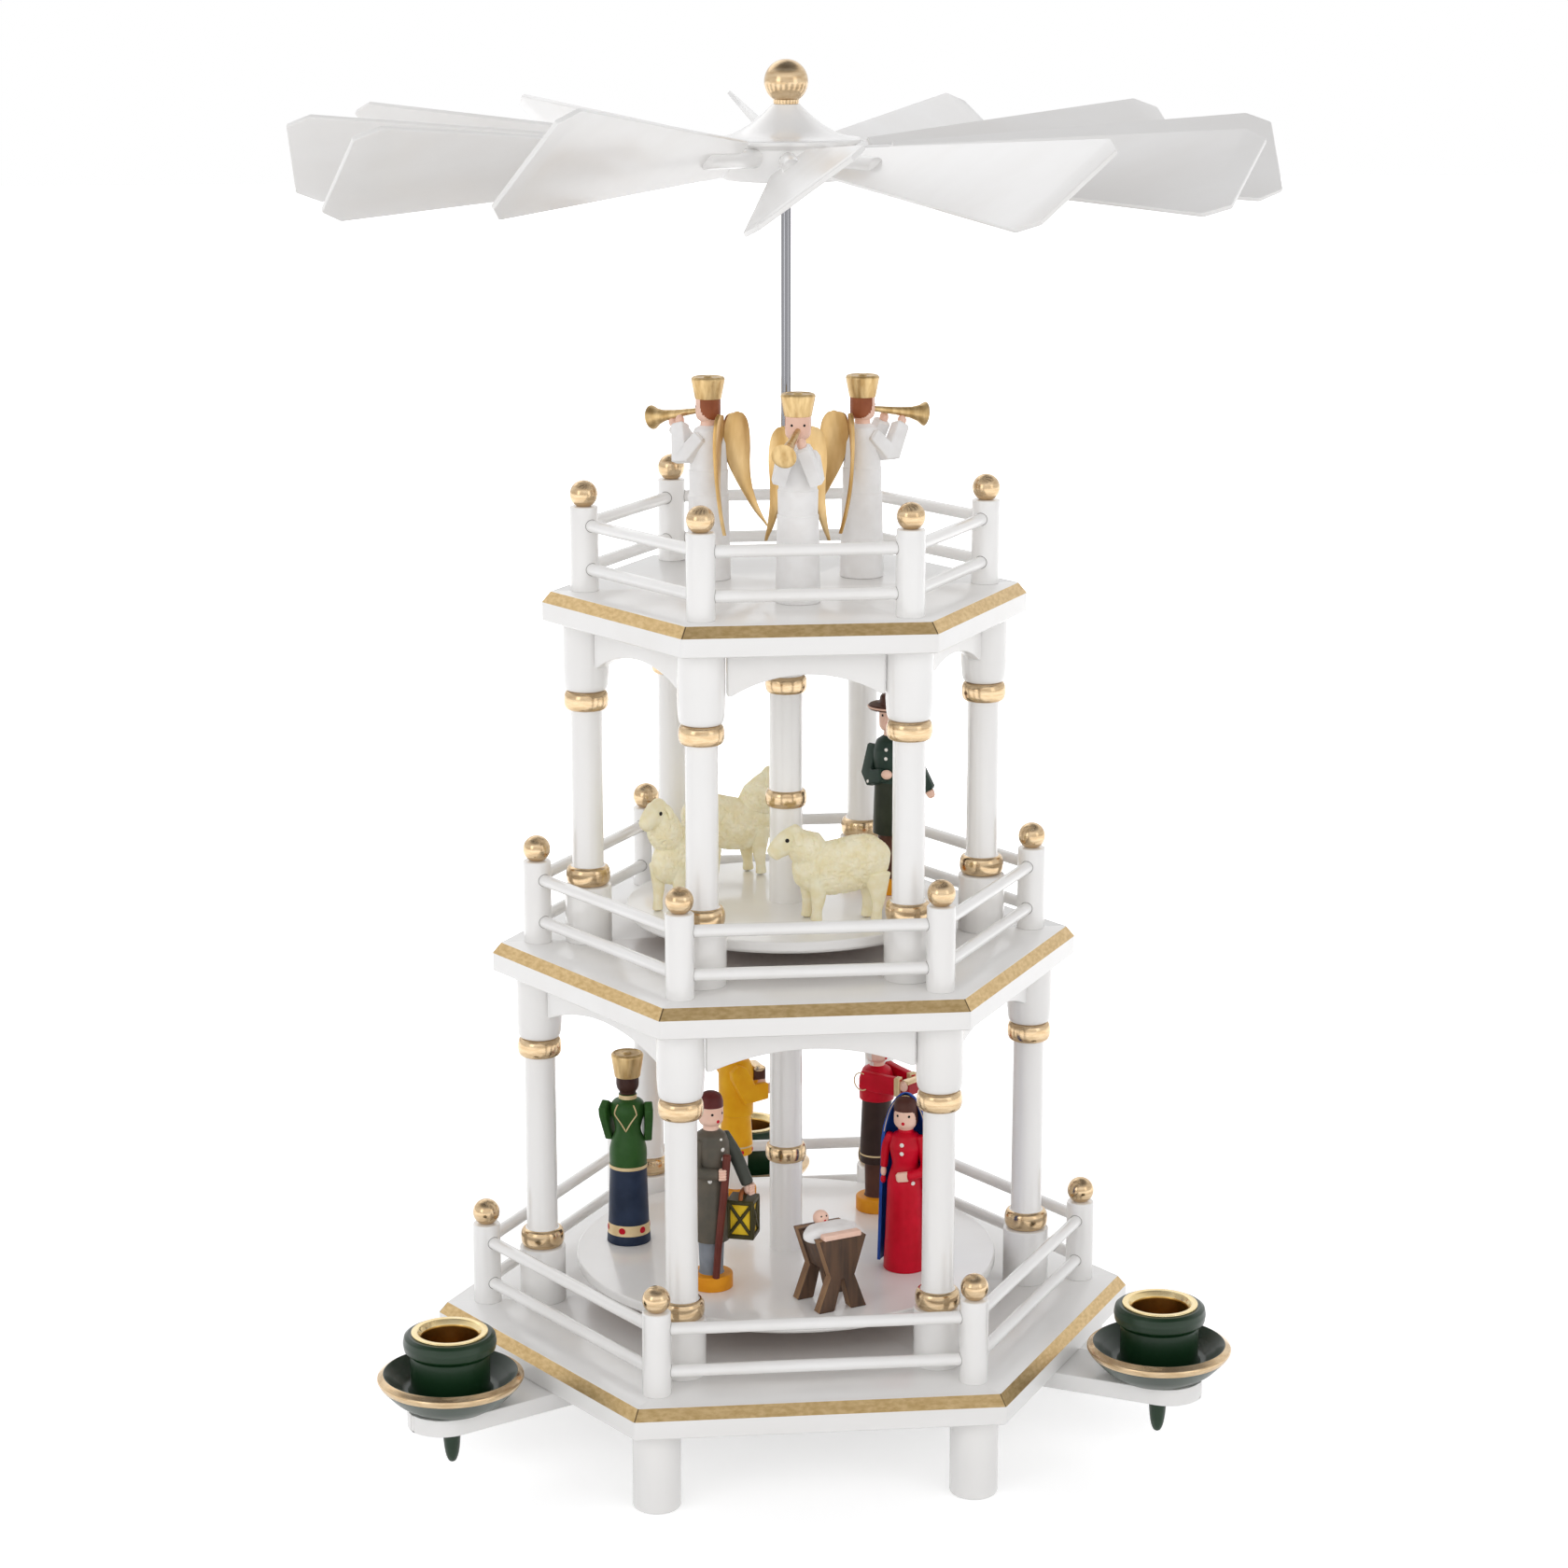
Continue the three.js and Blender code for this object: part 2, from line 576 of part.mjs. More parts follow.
function hubProfile() {
  const flare = HUB_RIM_RADIUS - HUB_NECK_RADIUS;
  // The upper side sweeps from the rim to the neck on a hollow curve.
  const sweep = [0.2, 0.42, 0.7, 0.89].map((t) => [HUB_RIM_RADIUS - flare * t, rimTop + HUB_RISE * t ** 1.9]);
  return [
    [0, -DRUM_BELOW],
    [DRUM_RADIUS - DISC_ROUNDING, -DRUM_BELOW],
    [DRUM_RADIUS, DISC_ROUNDING - DRUM_BELOW],
    [DRUM_RADIUS, DRUM_ABOVE],
    [HUB_RIM_RADIUS, rimTop - HUB_RIM_EDGE],
    [HUB_RIM_RADIUS, rimTop],
    ...sweep,
    [HUB_NECK_RADIUS, neckTop],
    [0, neckTop],
  ];
}

function bladeTurn(i) {
  const pitch = THREE.MathUtils.degToRad(BLADE_PITCH[i % BLADE_PITCH.length]);
  const lift = THREE.MathUtils.degToRad(i === LIFTED_BLADE ? BLADE_LIFT : 0);
  const heading = THREE.MathUtils.degToRad(FIRST_BLADE + (i * 360) / BLADE_COUNT);
  return new THREE.Euler(pitch, -lift, heading, "ZYX");
}

const dowelStart = DRUM_RADIUS - SOCKET_DEPTH + GAP;

function socket(i) {
  const hole = rod([DRUM_RADIUS - SOCKET_DEPTH, 0, 0], [DRUM_RADIUS + BITE, 0, 0], DOWEL_RADIUS + GAP);
  return hole.applyMatrix4(new THREE.Matrix4().makeRotationFromEuler(bladeTurn(i)));
}

const blades = Array.from({ length: BLADE_COUNT }, (_, i) => i);
const seat = rod([0, 0, -DRUM_BELOW - BITE], [0, 0, NEEDLE_SEAT + GAP], shaftBore);
add("hub", cut(turned(hubProfile(), 24), seat, ...blades.map(socket)), WHITE, 0, 0, WHEEL_HEIGHT);

function finialProfile() {
  const footing = Math.asin(FINIAL_FOOT / FINIAL_RADIUS);
  const arcSteps = 6;
  const centre = FINIAL_RADIUS;
  const arc = Array.from({ length: arcSteps }, (_, i) => {
    const a = footing + ((Math.PI - footing) * i) / arcSteps;
    return [FINIAL_RADIUS * Math.sin(a), centre - FINIAL_RADIUS * Math.cos(a)];
  });
  return [[0, 0], [FINIAL_FOOT - GAP, 0], ...arc, [0, centre + FINIAL_RADIUS]];
}
add("finial", turned(finialProfile(), 12), GOLD, 0, 0, WHEEL_HEIGHT + neckTop);

// Local x runs out along the dowel and y across the blade.
function blade() {
  const sail = outlineOf([
    [BLADE_ROOT, -BLADE_ROOT_WIDTH / 2],
    [BLADE_SHOULDER, -BLADE_SHOULDER_WIDTH / 2],
    [BLADE_TIP, -BLADE_TIP_WIDTH / 2],
    [BLADE_TIP, BLADE_TIP_WIDTH / 2],
    [BLADE_SHOULDER, BLADE_SHOULDER_WIDTH / 2],
    [BLADE_ROOT, BLADE_ROOT_WIDTH / 2],
  ]);
  const dowel = [
    [0, dowelStart],
    [DOWEL_RADIUS, dowelStart],
    [DOWEL_RADIUS, DOWEL_END - DOWEL_ROUNDING],
    [DOWEL_RADIUS / 2, DOWEL_END],
    [0, DOWEL_END],
  ];
  return join(board(sail, BLADE_THICKNESS, -BLADE_THICKNESS / 2), turned(dowel, 8).rotateY(Math.PI / 2));
}

for (const i of blades) {
  const name = `blade_${String(i + 1).padStart(2, "0")}`;
  add(name, blade(), WHITE, 0, 0, WHEEL_HEIGHT).rotation.copy(bladeTurn(i));
}

// Figures look along their own -Y, so their left hand is at +X. Sizes are read from their bases up.

const FIGURE_SIDES = 10;
const STAND = [[0, 0], [7.1, 0], [7.1, 5], [4.2, 5]]; // round orange stand and the boots on it
const STAND_RISE = 1.5; // a king on a stand is this much taller than one without
const SLEEVE = 2.7; // thickness of a sawn arm
const ARM_SIDE = 6.9; // from the middle of a king to the middle of an arm
const ARM_TOE = 14; // degrees that a king's arms are turned inwards
const SHOULDERS = [[6.4, 42], [6.1, 47], [4.8, 49.6], [2.4, 50.6]];
const HEAD = [[2.4, 52.4], [4, 54.2], [4, 59.4]];
const TALL_HAT = [[4.3, 59.4], [5.6, 67], [0, 67]];
const CAP = [[4.1, 65], [2.4, 67.4], [0, 67.4]];
const BROAD_HAT = [[8, 62.6], [8, 64.2], [4.2, 64.6], [3.6, 67.8], [0, 67.8]];

// Straight bars from point to point, thinning from the first radius to the last.
function limb(points, first, last) {
  const bars = points.length - 1;
  return points.slice(1).map((end, i) => {
    const from = first + ((last - first) * i) / bars;
    const to = first + ((last - first) * (i + 1)) / bars;
    return rod(points[i], end, from, to, 6);
  });
}

// A sawn arm. Its outline is drawn forwards and upwards; the side is 1 for the left arm and -1 for the right.
function sawnArm(outline, side) {
  return board(outlineOf(outline), SLEEVE, -SLEEVE / 2)
    .rotateX(Math.PI / 2)
    .rotateZ(THREE.MathUtils.degToRad(-90 - side * ARM_TOE))
    .translate(side * ARM_SIDE, 0, 0);
}

function angel(bell, leftSpread) {
  const gown = [[0, 0], [7.25, 0], [6.2, 28], [6.6, 28.4], [6.2, 44], [5, 49], [2.3, 50.6]];
  const trumpet = [
    rod([0, -3.4, 55.6], [-2.5, -13.4, (55.6 + bell) / 2], 0.9, 1.5, 8),
    rod([-2.5, -13.4, (55.6 + bell) / 2], [-4.5, -22.8, bell], 1.5, 3.9, 8),
  ];
  const leftArm = limb([[4.8, 0, 47.4], [5.6, -6.8, 40.6], [1.2, -9.4, 52.4]], 2.8, 2);
  const rightArm = limb([[-4.8, 0, 47.4], [-5.8, -7.6, 40.6], [-3.2, -14.4, 51.2]], 2.8, 2);
  const feather = new THREE.Shape();
  feather.moveTo(0, 40);
  feather.lineTo(0, 49);
  feather.quadraticCurveTo(2.4, 55, 6, 54.5);
  feather.quadraticCurveTo(10.4, 53, 10.4, 43);
  feather.quadraticCurveTo(10.4, 30, 15, 17.4);
  feather.quadraticCurveTo(7, 26, 4, 37);
  const wings = [-leftSpread, WING_SPREAD].map((turn) => board(feather, 1.2, -0.6, 3)
    .rotateX(Math.PI / 2)
    .rotateZ(THREE.MathUtils.degToRad(90 + turn))
    .translate(0, 5.6, 0));
  const body = turned([...gown, ...HEAD, ...TALL_HAT], FIGURE_SIDES);
  return join(body, ...trumpet, ...leftArm, ...rightArm, ...wings);
}

const BENT_ARM = [
  [-5.6, 45.8], [-4, 49.8], [0.6, 49.8], [2.8, 47], [4.8, 42.2], [10.8, 42], [10.8, 35.8], [0.4, 34.8],
];
const RAISED_ARM = [[-3.6, 45.6], [-2, 49.6], [1.4, 50.4], [13.8, 49.2], [13.8, 43], [0.6, 43]];
const LOW_GIFT = [0, -7.8, 43.6];
const HIGH_GIFT = [0, -13.6, 45.6];

// Both arms held forward, with a small casket between the hands.
function giftArms(outline, giftPlace) {
  return [sawnArm(outline, 1), sawnArm(outline, -1), block([8, 5, 6.6], giftPlace)];
}

function robedKing() {
  const robe = [[0, 0], [7.5, 0], [6.4, 27], [6.4, 33], [4.4, 39.4], [6.1, 47], [4.8, 49.6], [2.4, 50.6]];
  return join(turned([...robe, ...HEAD, ...TALL_HAT], FIGURE_SIDES), ...giftArms(BENT_ARM, LOW_GIFT));
}

function kingInTunic(outline, giftPlace) {
  const tunic = [[4.2, 16.1], [5.8, 16.1], ...SHOULDERS, ...HEAD, ...TALL_HAT];
  const body = turned([...STAND, ...tunic.map(([r, z]) => [r, z + STAND_RISE])], FIGURE_SIDES);
  return join(body, ...giftArms(outline, giftPlace).map((piece) => piece.translate(0, 0, STAND_RISE)));
}

function coated(hem, hat) {
  const coat = [[4.4, hem], [6.2, hem], [5.7, 34], [6.2, 45], [5.8, 50], [4.6, 53.4], [2.4, 54.6]];
  return turned([...STAND, ...coat, [2.4, 55.8], [4, 58], [4.1, 62.6], ...hat], FIGURE_SIDES);
}

function lanternFigure() {
  const right = limb([[-5.2, 0, 50], [-8, -2, 41.2], [-0.8, -7.8, 41.4]], 2.6, 1.8);
  const left = limb([[5, 0, 50.6], [12.2, -7.4, 36.2]], 2.6, 2);
  const lantern = block([9.4, 9.4, 13.4], [0, 0, 0])
    .rotateZ(THREE.MathUtils.degToRad(40))
    .translate(10.8, -5.6, 25.6);
  const staff = rod([0.6, -8.2, 47.4], [-2.4, -5.6, 4], 1.3, 1.3, 6);
  const handle = rod([10.8, -5.6, 31.6], [12.2, -7.4, 36.4], 1.4, 1.4, 6);
  return join(coated(16.4, CAP), ...right, ...left, lantern, handle, staff);
}

function shepherd() {
  const right = limb([[-5.4, 0, 50], [-6.6, -3.4, 39.6], [0.8, -7.4, 41.6]], 2.6, 2);
  const left = limb([[5, 0, 50], [14.4, -1, 33.8]], 2.6, 1.9);
  return join(coated(19, BROAD_HAT), ...right, ...left);
}

// The blue cape is a turned shell without its front half.
function redDressFigure() {
  const dress = [[0, 0], [7.2, 0], [5.9, 32], [4.6, 36.8], [5.6, 42.8], [4.2, 47.2], [2.2, 48.1]];
  const face = [[2.2, 49.1], [4, 51], [4.1, 56.1], [2.6, 59.1], [0, 59.9]];
  const outside = [[0, 2.2], [9.4, 2.2], [8.3, 44], [7.6, 49], [6.1, 54.6], [3.6, 59.4], [0, 61.1]];
  const inside = [[0, 0], [8.2, 0], [6.9, 36], [5.3, 43], [5.1, 48], [3.8, 51.6], [3.8, 57], [0, 59]];
  const cape = cut(turned(outside, 16), turned(inside, 16), block([24, 14, 64], [0, -7, 32]));
  const right = limb([[-5.2, 0.3, 45], [-7.2, 0.2, 38], [-7.4, -1, 29.6]], 2, 1.3);
  const left = limb([[5.2, 0, 44.4], [7.4, -2, 34.8], [-0.6, -7.2, 33]], 2, 1.7);
  return join(turned([...dress, ...face], FIGURE_SIDES), cape, ...right, ...left);
}

// A trough between two crossed ends, with a bundled child lying along it under a cloth.
function crib() {
  const end = outlineOf([
    [-8.8, 0], [-4.2, 10.6], [-4.2, 11.6], [-8.6, 24.6], [8.6, 24.6], [4.2, 11.6],
    [4.2, 10.6], [8.8, 0], [3, 0], [1.2, 5.4], [-1.2, 5.4], [-3, 0],
  ]);
  const trough = outlineOf([[-3.8, 12], [-8, 24], [8, 24], [3.8, 12]]);
  const ends = [-9, 6].map((y) => board(end, 3, y).rotateX(Math.PI / 2));
  const bed = board(trough, 14, -7).rotateX(Math.PI / 2);
  const cloth = new THREE.Shape();
  cloth.moveTo(-10, 22);
  cloth.quadraticCurveTo(-8.2, 28.4, 0, 28.4);
  cloth.quadraticCurveTo(8.2, 28.4, 10, 22);
  const blanket = board(cloth, 11.6, -5.8, 3).rotateX(Math.PI / 2);
  return join(...ends, bed, blanket, ball([0, 6.4, 27], 3));
}

// A lift of 0 holds the head level with the back.
function sheep(lift) {
  const round = () => new THREE.SphereGeometry(1, 10, 6).rotateX(Math.PI / 2);
  const trunk = round().scale(6, 14.2, 9).translate(0, 2, 18.4);
  const chest = round().scale(5.4, 6.6, 9.4).translate(0, -9.2, 16.4);
  const neck = rod([0, -6, 20], [0, -14, 28.4 + lift], 6.2, 4.4, 8);
  const crown = ball([0, -14.6, 28.6 + lift], 4.2);
  const head = rod([0, -13.4, 27.8 + lift], [0, -21.6, 22.8 + lift * 1.35], 4.4, 2.4, 8);
  const feet = [[3, -7.9], [-3, -11], [-3, 9], [3, 12.8]];
  const legs = feet.map(([x, y]) => rod([x, y, 0], [x, y, 15], 1.5, 2.6, 6));
  return join(trunk, chest, neck, crown, head, ...legs);
}

const makers = {
  king_green: [robedKing, JACKET_GREEN],
  king_yellow: [() => kingInTunic(BENT_ARM, LOW_GIFT), YELLOW],
  king_red: [() => kingInTunic(RAISED_ARM, HIGH_GIFT), RED],
  red_dress_figure: [redDressFigure, RED],
  crib: [crib, BROWN],
  lantern_figure: [lanternFigure, GREY],
  sheep_front: [() => sheep(0), WOOL],
  sheep_left: [() => sheep(7), WOOL],
  sheep_back: [() => sheep(5), WOOL],
  shepherd: [shepherd, FOREST],
};

function stand(figures, discRadius, discTop) {
  for (const [name, [inset, angle, heading]] of Object.entries(figures)) {
    const [make, finish] = makers[name];
    add(name, make(), finish, ...polar(discRadius - inset, angle), discTop, heading + 90);
  }
}

stand(LOWER_FIGURES, LOWER_DISC_RADIUS, lowerDiscTop);
stand(UPPER_FIGURES, UPPER_DISC_RADIUS, upperDiscTop);

for (const [name, [inset, angle, heading, bell, leftSpread]] of Object.entries(ANGELS)) {
  const place = polar(UPPER_FENCE_DISTANCE - inset, angle);
  add(name, angel(bell, leftSpread), WHITE, ...place, TOP_DECK, heading + 90);
}

export default model;
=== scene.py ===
# %% [markdown]
# # A candle pyramid in white, green and gold
# A candle pyramid is a small wooden tower whose bladed wheel turns in the warm air over its candles. This lesson takes
# the measured frame of one and gives it its looks: smooth turned wood under white lacquer, gilded rings and bevels,
# brass cups and painted figures. Nearly every part was turned, sawn or whittled, and each of those is a short formula,
# so every shape here is a surface worked out with numpy. Lengths are in millimetres until a surface becomes a mesh.

# %% The frame and the units
import json

import bpy
import numpy as np
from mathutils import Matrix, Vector


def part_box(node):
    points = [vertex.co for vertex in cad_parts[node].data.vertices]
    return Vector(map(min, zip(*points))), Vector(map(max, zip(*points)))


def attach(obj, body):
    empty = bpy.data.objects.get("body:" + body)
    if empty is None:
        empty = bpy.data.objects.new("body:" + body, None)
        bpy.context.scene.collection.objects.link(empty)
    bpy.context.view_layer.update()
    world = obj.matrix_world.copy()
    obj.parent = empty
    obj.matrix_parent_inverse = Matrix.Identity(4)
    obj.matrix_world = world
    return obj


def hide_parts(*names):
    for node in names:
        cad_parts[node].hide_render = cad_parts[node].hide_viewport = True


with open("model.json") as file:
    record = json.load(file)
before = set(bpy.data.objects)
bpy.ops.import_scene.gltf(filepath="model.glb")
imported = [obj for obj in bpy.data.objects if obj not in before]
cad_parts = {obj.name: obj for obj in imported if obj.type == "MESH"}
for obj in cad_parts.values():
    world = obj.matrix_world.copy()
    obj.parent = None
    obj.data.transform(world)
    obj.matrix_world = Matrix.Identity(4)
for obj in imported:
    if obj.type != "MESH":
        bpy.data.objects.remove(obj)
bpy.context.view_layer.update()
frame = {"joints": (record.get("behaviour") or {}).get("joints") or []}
MM = 0.001

# %% [markdown]
# ## The camera
# The view decides which details show, so it comes first. The place and the direction of the eye were worked out from
# the corners of the three hexagonal plates; the focal length follows from how fast they shrink towards the back.

# %% Camera
EYE, LOOK = (-0.1301, -1.1863, 0.4932), (0.10563, 0.96808, -0.22729)
scene = bpy.context.scene
camera = bpy.data.objects.new("camera", bpy.data.cameras.new("camera"))
camera.data.lens, camera.data.sensor_width, camera.data.clip_start = 85.15, 36, 0.01
camera.location = EYE
camera.rotation_euler = Vector(LOOK).to_track_quat("-Z", "Y").to_euler()
scene.collection.objects.link(camera)
scene.camera = camera
print("camera", round(camera.location.length, 2), "m from the foot of the tower")

# %% [markdown]
# ## Finishes
# The tower is beech under white lacquer. Gold is a bronze paint, smooth where the lathe turned under the brush and
# streaky on the sawn bevels. The figures are painted by hand with satin colours. All of these share a recipe: a
# Principled shader, a colour that wanders a little, a roughness that wanders with it and a fine bump. So one small
# helper builds them, and each finish says only what is its own.

# %% Nodes, colours and patterns
def feed(target, inputs):
    """Each input of a node, found by name or number, takes a constant or the output of another node."""
    for name, value in dict(inputs).items():
        if isinstance(value, bpy.types.NodeSocket):
            target.id_data.links.new(value, target.inputs[name])
        else:
            target.inputs[name].default_value = value


def add_node(tree, kind, inputs=(), **settings):
    """A new shader node of a kind, with its settings and its inputs."""
    made = tree.nodes.new("ShaderNode" + kind)
    for name, value in settings.items():
        setattr(made, name, value)
    feed(made, inputs)
    return made


def linear(card):
    """A paint-card colour in the renderer's numbers: ((c + 0.055) / 1.055) ^ 2.4 for each channel."""
    c = np.array([int(card[i:i + 2], 16) for i in (1, 3, 5)]) / 255
    return (*np.where(c < 0.04045, c / 12.92, ((c + 0.055) / 1.055) ** 2.4).tolist(), 1.0)


def noise(tree, scale, stretch=(1, 1, 1), detail=4):
    """Noise on the object's own coordinates, scale patches to the metre, drawn out by stretch."""
    mapping = add_node(tree, "Mapping", {"Vector": add_node(tree, "TexCoord").outputs["Object"], "Scale": stretch})
    return add_node(tree, "TexNoise", {"Vector": mapping.outputs[0], "Scale": scale, "Detail": detail}).outputs["Fac"]


def ramp(tree, factor, stops):
    """Colours along a factor: stops are (position, colour) from low to high."""
    colours = add_node(tree, "ValToRGB", {0: factor})
    elements = colours.color_ramp.elements
    for element, (position, colour) in zip(elements, (stops[0], stops[-1])):
        element.position, element.color = position, colour
    for position, colour in stops[1:-1]:
        elements.new(position).color = colour
    return colours.outputs[0]


print("mid grey of a paint card is", round(linear("#808080")[0], 3), "to the renderer")

# %% The shared recipe, white lacquer and the gold paints
palette, number = [], {}


def finish(name, low, high, roughness=(0.3, 0.4), patch=60, stretch=(1, 1, 1), bump=0.02, grain=900, **sockets):
    """Colour from low to high and roughness between two values follow one noise; the bump, in mm, a finer one."""
    material = bpy.data.materials.new(name)
    material.use_nodes = True
    tree = material.node_tree
    drift = noise(tree, patch, stretch)
    rough = add_node(tree, "MapRange", {"Value": drift, "To Min": roughness[0], "To Max": roughness[1]})
    relief = add_node(tree, "Bump", {"Height": noise(tree, grain, stretch, 6), "Strength": 0.5, "Distance": bump * MM})
    feed(tree.nodes["Principled BSDF"], {
        "Base Color": ramp(tree, drift, [(0.35, linear(low)), (0.65, linear(high))]), "Roughness": rough.outputs[0],
        "Normal": relief.outputs[0], **{socket.replace("_", " "): value for socket, value in sockets.items()}})
    number[name] = len(palette)
    palette.append(material)


finish("white lacquer", "#EFEDEA", "#F4F3F1", (0.3, 0.42), 35, (1, 1, 0.25), 0.02, 500, Coat_Weight=0.9,
       Coat_Roughness=0.12)
finish("sawn lacquer", "#EEECE9", "#F3F2F0", (0.34, 0.48), 40, (0.2, 1, 1), 0.03, 600, Coat_Weight=0.7,
       Coat_Roughness=0.16)
finish("gilding", "#C6AA84", "#D9C09C", (0.15, 0.24), 220, (1, 1, 5), 0.015, 900, Metallic=0.95)
finish("streaky gilding", "#C8A873", "#DCBF8C", (0.28, 0.38), 420, (1, 1, 2.5), 0.05, 1500, Metallic=0.9)
# painted shade: a dark brown line down each eased corner of the gilded bevels
finish("gold corner painted shade", "#5A4526", "#6A5430", (0.5, 0.6))
finish("wing gilding", "#BC965C", "#DFC08C", (0.26, 0.4), 160, (1, 1, 0.3), 0.06, 700, Metallic=0.9)
finish("hat gilding", "#AE8E5C", "#D4B886", (0.28, 0.42), 520, (1, 1, 0.16), 0.06, 900, Metallic=0.85)
finish("hem gold", "#D6BC8C", "#E2CB9E", (0.4, 0.5), 300, Metallic=0.25)
# painted shade: a grey for the shade in the drilled holes where the rails enter the posts
finish("painted hole shade", "#8E8B88", "#A09D9A", (0.6, 0.7))
print(len(palette), "finishes so far")

# %% Lacquered green, brass, steel
finish("green lacquer", "#0F2A15", "#133219", (0.3, 0.4), 30, bump=0.015, grain=400, Coat_Weight=0.2,
       Coat_Roughness=0.12, Specular_IOR_Level=0.35)
finish("cup brass", "#EED49A", "#F6E4B4", (0.14, 0.2), 90, bump=0.01, grain=700, Metallic=0.78)
finish("bearing brass", "#B08A46", "#C79F57", (0.25, 0.35), 200, bump=0.01, Metallic=1.0)
finish("bright steel", "#88888C", "#9C9CA0", (0.08, 0.12), 60, (1, 1, 0.05), 0.002, 800, Metallic=1.0)
print(len(palette), "finishes so far")

# %% The figures' paints, wool, stained wood and cloth
for name, low, high in [
    ("skin", "#EEC3AE", "#F5D0BD"), ("dark skin", "#3A211B", "#43281F"), ("hair", "#4A2A22", "#58332A"),
    ("auburn", "#8A4B2E", "#9C5A39"), ("jacket green", "#28501F", "#315A27"), ("navy", "#1E2A40", "#27344C"),
    ("red", "#BF001F", "#D20529"), ("dark red", "#9E0A1D", "#B01024"), ("blue", "#20479A", "#2652AC"),
    ("yellow", "#EEA60C", "#F6B81C"), ("orange", "#D98A14", "#E79A22"), ("grey", "#57534A", "#645C50"),
    # painted shade: the coat grey made darker, for one arm of the man with the lantern
    ("coat shade", "#41443D", "#4A4D46"), ("trouser grey", "#7C8188", "#8B9098"), ("maroon", "#571F1E", "#642724"),
    ("staff brown", "#5E2A22", "#6C352A"), ("dark brown", "#2F1E19", "#392620"), ("boot brown", "#4B2C21", "#573528"),
    ("forest", "#22342C", "#2A3D34"), ("deep olive", "#272C20", "#303528"), ("olive", "#37331A", "#454022"),
    ("copper brown", "#93552C", "#A56437"), ("bone", "#EDE9E2", "#F4F1EC"), ("ink", "#15110F", "#1D1815"),
    ("pane yellow", "#D9B01F", "#E8C42E"), ("gown white", "#EEECEA", "#F5F4F3"), ("raw wood", "#93796A", "#A68B7A"),
]:
    finish(name, low, high, (0.36, 0.5), 150, bump=0.03, grain=1100, Specular_IOR_Level=0.22)
finish("fleece", "#F0E4BA", "#F8F0D2", (0.5, 0.68), 300, bump=0.12, grain=1400, Subsurface_Weight=0.05,
       Subsurface_Scale=0.002)
finish("stained wood", "#3E2A1C", "#5C412C", (0.45, 0.62), 150, (3, 3, 0.35), 0.08)
finish("cut wood", "#7A5A3E", "#96724F", (0.5, 0.65), 150, (3, 3, 0.35), 0.08)
finish("cloth", "#ECEAE8", "#F6F5F4", (0.7, 0.85), 200, bump=0.1, grain=2600, Sheen_Weight=0.2)
print(len(palette), "finishes in all")

# %% [markdown]
# ## Surfaces from grids
# A turned post, a bent arm and a sawn board are all a grid of points: one direction runs along the piece, the other
# round it. One function therefore makes the faces of them all. Points that fall on each other, such as a ring that
# has shrunk to the axis, become one, which closes poles and seams, and a four-sided face that lost a corner there
# becomes a triangle.

# %% Grids to faces
def sheet(grid, paint, around=True, along=False):
    """Faces of a grid: point (i, j) joins (i, j + 1), (i + 1, j + 1) and (i + 1, j), wrapping where it closes.

    Points with the same place, to a hundredth of a thousandth of a millimetre, share one number.
    """
    rows, columns = grid.shape[:2]
    i = np.arange(rows if along else rows - 1)[:, None]
    j = np.arange(columns if around else columns - 1)[None, :]
    i2, j2 = (i + 1) % rows, (j + 1) % columns
    quads = np.stack([i * columns + j, i * columns + j2, i2 * columns + j2, i2 * columns + j], -1)
    colours = np.broadcast_to(number[paint] if isinstance(paint, str) else paint, quads.shape[:2])
    points = grid.reshape(-1, 3)
    _, first, same = np.unique(np.round(points, 5), axis=0, return_index=True, return_inverse=True)
    return points[first], same.reshape(-1)[quads.reshape(-1, 4)], colours.reshape(-1)


def together(*parts):
    """Several surfaces as one: the numbers in each go up by the points before it."""
    points, quads, colours = zip(*parts)
    starts = np.cumsum([0, *map(len, points[:-1])])
    return np.concatenate(points), np.concatenate([q + s for q, s in zip(quads, starts)]), np.concatenate(colours)


def put(part, x=0, y=0, z=0, turn=0):
    """A surface turned about the upright axis, in degrees, and then moved."""
    c, s = np.cos(np.radians(turn)), np.sin(np.radians(turn))
    return part[0] @ np.array([[c, s, 0], [-s, c, 0], [0, 0, 1]]) + (x, y, z), part[1], part[2]


print("a tube of 4 rings of 6 points has", len(sheet(np.arange(72.0).reshape(4, 6, 3), "red")[1]), "faces")

# %% Surfaces to a piece of the pyramid
SHARP = 24
counts = []


